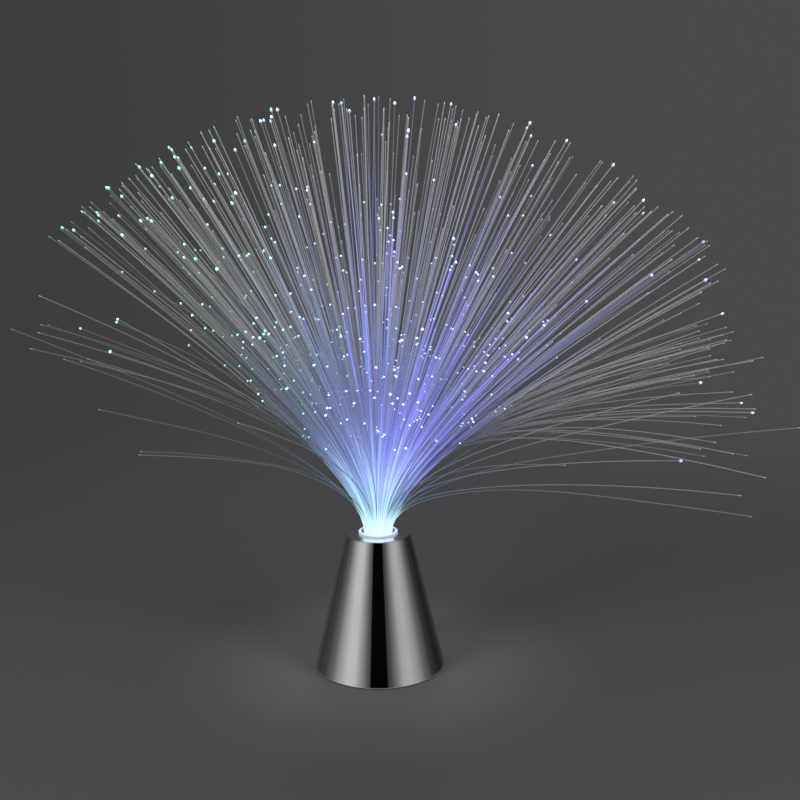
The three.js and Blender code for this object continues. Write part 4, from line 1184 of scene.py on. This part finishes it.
def filling_strands(chance, offset, short_share):
    """As many strands again between the first, gathered into small tufts, many of them short."""
    circle, azimuth = potted_roots(np.arange(0.5, last_circle), offset)
    angle, turned, distance, share = spray_shape(circle, azimuth, [])
    out = np.stack([angle * np.cos(turned), angle * np.sin(turned)], 1)
    out *= (fill_widened - fill_narrowed * np.hypot(*out.T) / angle.max())[:, None]
    tufts = out[chance.permutation(len(out))[:fill_tufts]]
    nearest = nearest_of(out, tufts)
    out += fill_pull * (tufts[nearest] - out) + chance.normal(0, 0.012, out.shape)
    angle, turned = np.hypot(*out.T), np.arctan2(out[:, 1], out[:, 0])
    distance *= 1 - np.abs(chance.normal(0, 0.015, len(out)))
    short = chance.random(len(out)) < short_share
    tuft_cuts = chance.triangular(*fill_cuts, (len(tufts), 3))
    cuts = tuft_cuts[nearest, chance.integers(0, 3, len(out))]
    share = np.where(short, cuts + chance.normal(0, 0.01, len(out)), 1)
    return circle, azimuth, angle, turned, distance, share, np.full(len(out), strand_rise)


def leaning_strands(chance):
    """Loose strands that arch over on both sides, most of them on the right. Some of them droop."""
    def between(low, high):
        return chance.uniform(low, high, loose_count)

    right = np.arange(loose_count) < loose_right
    droops = right & (chance.random(loose_count) < 0.5)
    azimuth = np.where(right, between(-0.3, 0.25), math.pi + between(-0.9, 0.9))
    degrees = np.where(droops, between(66, 80), between(57, 64))
    angle = np.radians(np.where(right, degrees, between(47, 57)))
    most = loose_limit / (np.sin(angle) * np.abs(np.cos(azimuth)))
    distance = np.minimum(strand_reach * between(0.76, 0.97), most)
    rise = np.where(droops, 1.1 * degrees + between(2, 8), between(60, 72))
    circle, share = np.full(loose_count, last_circle - 0.5), np.ones(loose_count)
    return circle, azimuth, angle, azimuth, distance, share, rise


def strand_light(side, spread, angle, share, chance):
    """Each strand's hue, how much of the root's light it keeps, its shine and the colour of its end.
    The light is green on the left and blue beyond, and some tufts carry much more than others."""
    stops = [-1.3, -0.85, -0.55, -0.25, 0.1, 0.6, 1.0, 1.5]
    hues = np.array([
        (0.02, 0.06, 0.04), (0.03, 0.12, 0.09), (0.07, 0.16, 0.28), (0.12, 0.18, 0.74), (0.14, 0.19, 1.0),
        (0.15, 0.14, 0.88), (0.07, 0.06, 0.4), (0.02, 0.02, 0.06),
    ])
    sparks = np.array([
        (0.3, 0.7, 0.5), (0.24, 0.8, 0.48), (0.28, 0.78, 0.6), (0.36, 0.6, 0.95), (0.46, 0.6, 1.0),
        (0.46, 0.52, 1.0), (0.4, 0.4, 1.0), (0.5, 0.55, 0.9),
    ])
    count, full, stray = len(side), share > 0.97, angle > math.radians(leaning_from)
    drift = side + chance.normal(0, light_drift, count)
    hue = np.stack([np.interp(drift, stops, hues[:, k]) for k in range(3)], 1)
    spark = np.stack([np.interp(drift, stops, sparks[:, k]) for k in range(3)], 1)
    centres = spread[chance.permutation(count)[:light_tufts]]
    tuft = nearest_of(spread, centres)
    tuft_light = np.clip(chance.gamma(0.6, 1.5, light_tufts), 0.08, 3.2)
    # shine is painted light in the base colour: each tuft and strand looks lit more or less at random, the
    # strands on the left are painted darker, and the leaning ones are darker too
    tuft_shine = chance.uniform(0.72, 1.3, light_tufts)
    lit = tuft_light[tuft] * chance.uniform(0.4, 1.6, count) * np.where(full, 0.8, 1.25)
    shine = tuft_shine[tuft] * chance.uniform(0.7, 1.3, count) * np.interp(side, [-0.9, -0.1], [0.82, 1])
    lit = np.where(stray, leaning_light, lit)
    shine *= np.where(stray, leaning_shine, 1)
    leak = np.where(stray, leaning_light, np.interp(np.degrees(angle), [40, 48], [1, 0.3]))
    at_rim = np.interp(side, [-0.4, 0.1], [0.28, 0.15])
    likely = np.where(full, at_rim, 0.95) * np.interp(side, [0.5, 1.0], [1, 0.6])
    bright = chance.random(count) < likely
    strength = np.where(bright, chance.uniform(0.14, 0.6, count), dark_end)
    return hue * lit[:, None], leak, shine, spark * strength[:, None], bright


def lit_potting():
    """Resin round the strands' roots, brightest in the middle of its polished top."""
    material, tree = shader_of("lit_potting")
    where = on_piece(tree)
    cells = place(tree, "ShaderNodeTexVoronoi", {"Vector": where, "Scale": 1400.0}).outputs["Distance"]
    outward = range_of(tree, off_axis(tree, where), 0.0, plug_radius * mm)
    middle = mix_of(tree, range_of(tree, cells, 0.1, 0.6), (0.75, 1.0, 1.0), (0.5, 0.85, 0.95))
    glow = mix_of(tree, outward, middle, (0.3, 0.6, 0.75))
    return join_up(
        material, Base_Color=mix_of(tree, outward, (0.6, 0.7, 0.75), (0.4, 0.5, 0.55)),
        Roughness=range_of(tree, cells, 0.0, 1.0, 0.2, 0.4), Emission_Color=glow, Emission_Strength=1.1,
    )


ring_nodes = ("fibres_core", "fibres_inner", "fibres_middle", "fibres_outer")
plug_outline = filleted([
    (0, plug_bottom, 0), (plug_radius, plug_bottom, 0.2), (plug_radius, bundle_top, 0.2), (0, bundle_top, 0),
])
plug = spun("potted_plug", plug_outline, 96, lit_potting())
seat(plug, "lamp", "clear_fibre", *ring_nodes)

acrylic = clear_acrylic()
spray = strand_tree()
chance = np.random.default_rng(11)
circle, azimuth = potted_roots(range(last_circle + 1), 0)
rise = np.full(len(circle), strand_rise)
sets = [
    (circle, azimuth, *spray_shape(circle, azimuth, stray_list()), rise),
    filling_strands(chance, offset=0.5, short_share=0.55),
    filling_strands(chance, offset=0.0, short_share=0.8),
    leaning_strands(chance),
]
every = [np.concatenate(parts) for parts in zip(*sets)]
circles, azimuths, angles, turns, distances, shares, rises = every
rings = root_ring(circles)
out = circles * circle_pitch + rings * ring_gap
roots = np.stack([out * np.cos(azimuths), out * np.sin(azimuths), np.full(len(out), bundle_top)], 1)
spread = np.stack([np.sin(angles) * np.cos(turns), np.sin(angles) * np.sin(turns), np.cos(angles)], 1)
tips = spread * distances[:, None] + (0, 0, bundle_top)
leaning = spread[:, 0] / math.sin(math.radians(spray_angle))
hues, leaks, shines, sparks, bright = strand_light(leaning, spread, angles, shares, chance)
flares = np.where(bright, chance.uniform(1.3, 2.5, len(out)), plain_end)
opaque = np.ones(len(out))
strand_values = {
    "root": roots * mm, "tip": tips * mm, "share": shares, "row": None, "rise": rises * mm,
    "flare": flares, "leak": leaks, "shine": shines, "hue": np.column_stack([hues, opaque]),
    "spark": np.column_stack([sparks, opaque]),
}
# Kinds of attribute, and the field that holds their values, by how many numbers each value has
kinds = {1: ("FLOAT", "value"), 3: ("FLOAT_VECTOR", "vector"), 4: ("FLOAT_COLOR", "color")}
for ring, name in enumerate(ring_nodes):
    chosen = np.flatnonzero(rings == ring)
    points = link_mesh(name.replace("fibres", "strands"), (roots[chosen] * mm).tolist(), [])
    for key, values in strand_values.items():
        value = np.arange(len(chosen)) if key == "row" else values[chosen]
        kind, field = kinds[value.size // len(chosen)]
        attribute = points.data.attributes.new(key, kind, "POINT")
        attribute.data.foreach_set(field, np.asarray(value, dtype=np.float32).ravel())
    strands = made_with(
        points, spray, Stations=strand_stations, Sides=strand_sides, Thickness=strand_thickness * mm,
        Tip_Share=tip_share, Waver=strand_waver * mm, Strands=len(chosen), Finish=acrylic,
    )
    seat(strands, "lamp", "clear_fibre", name)
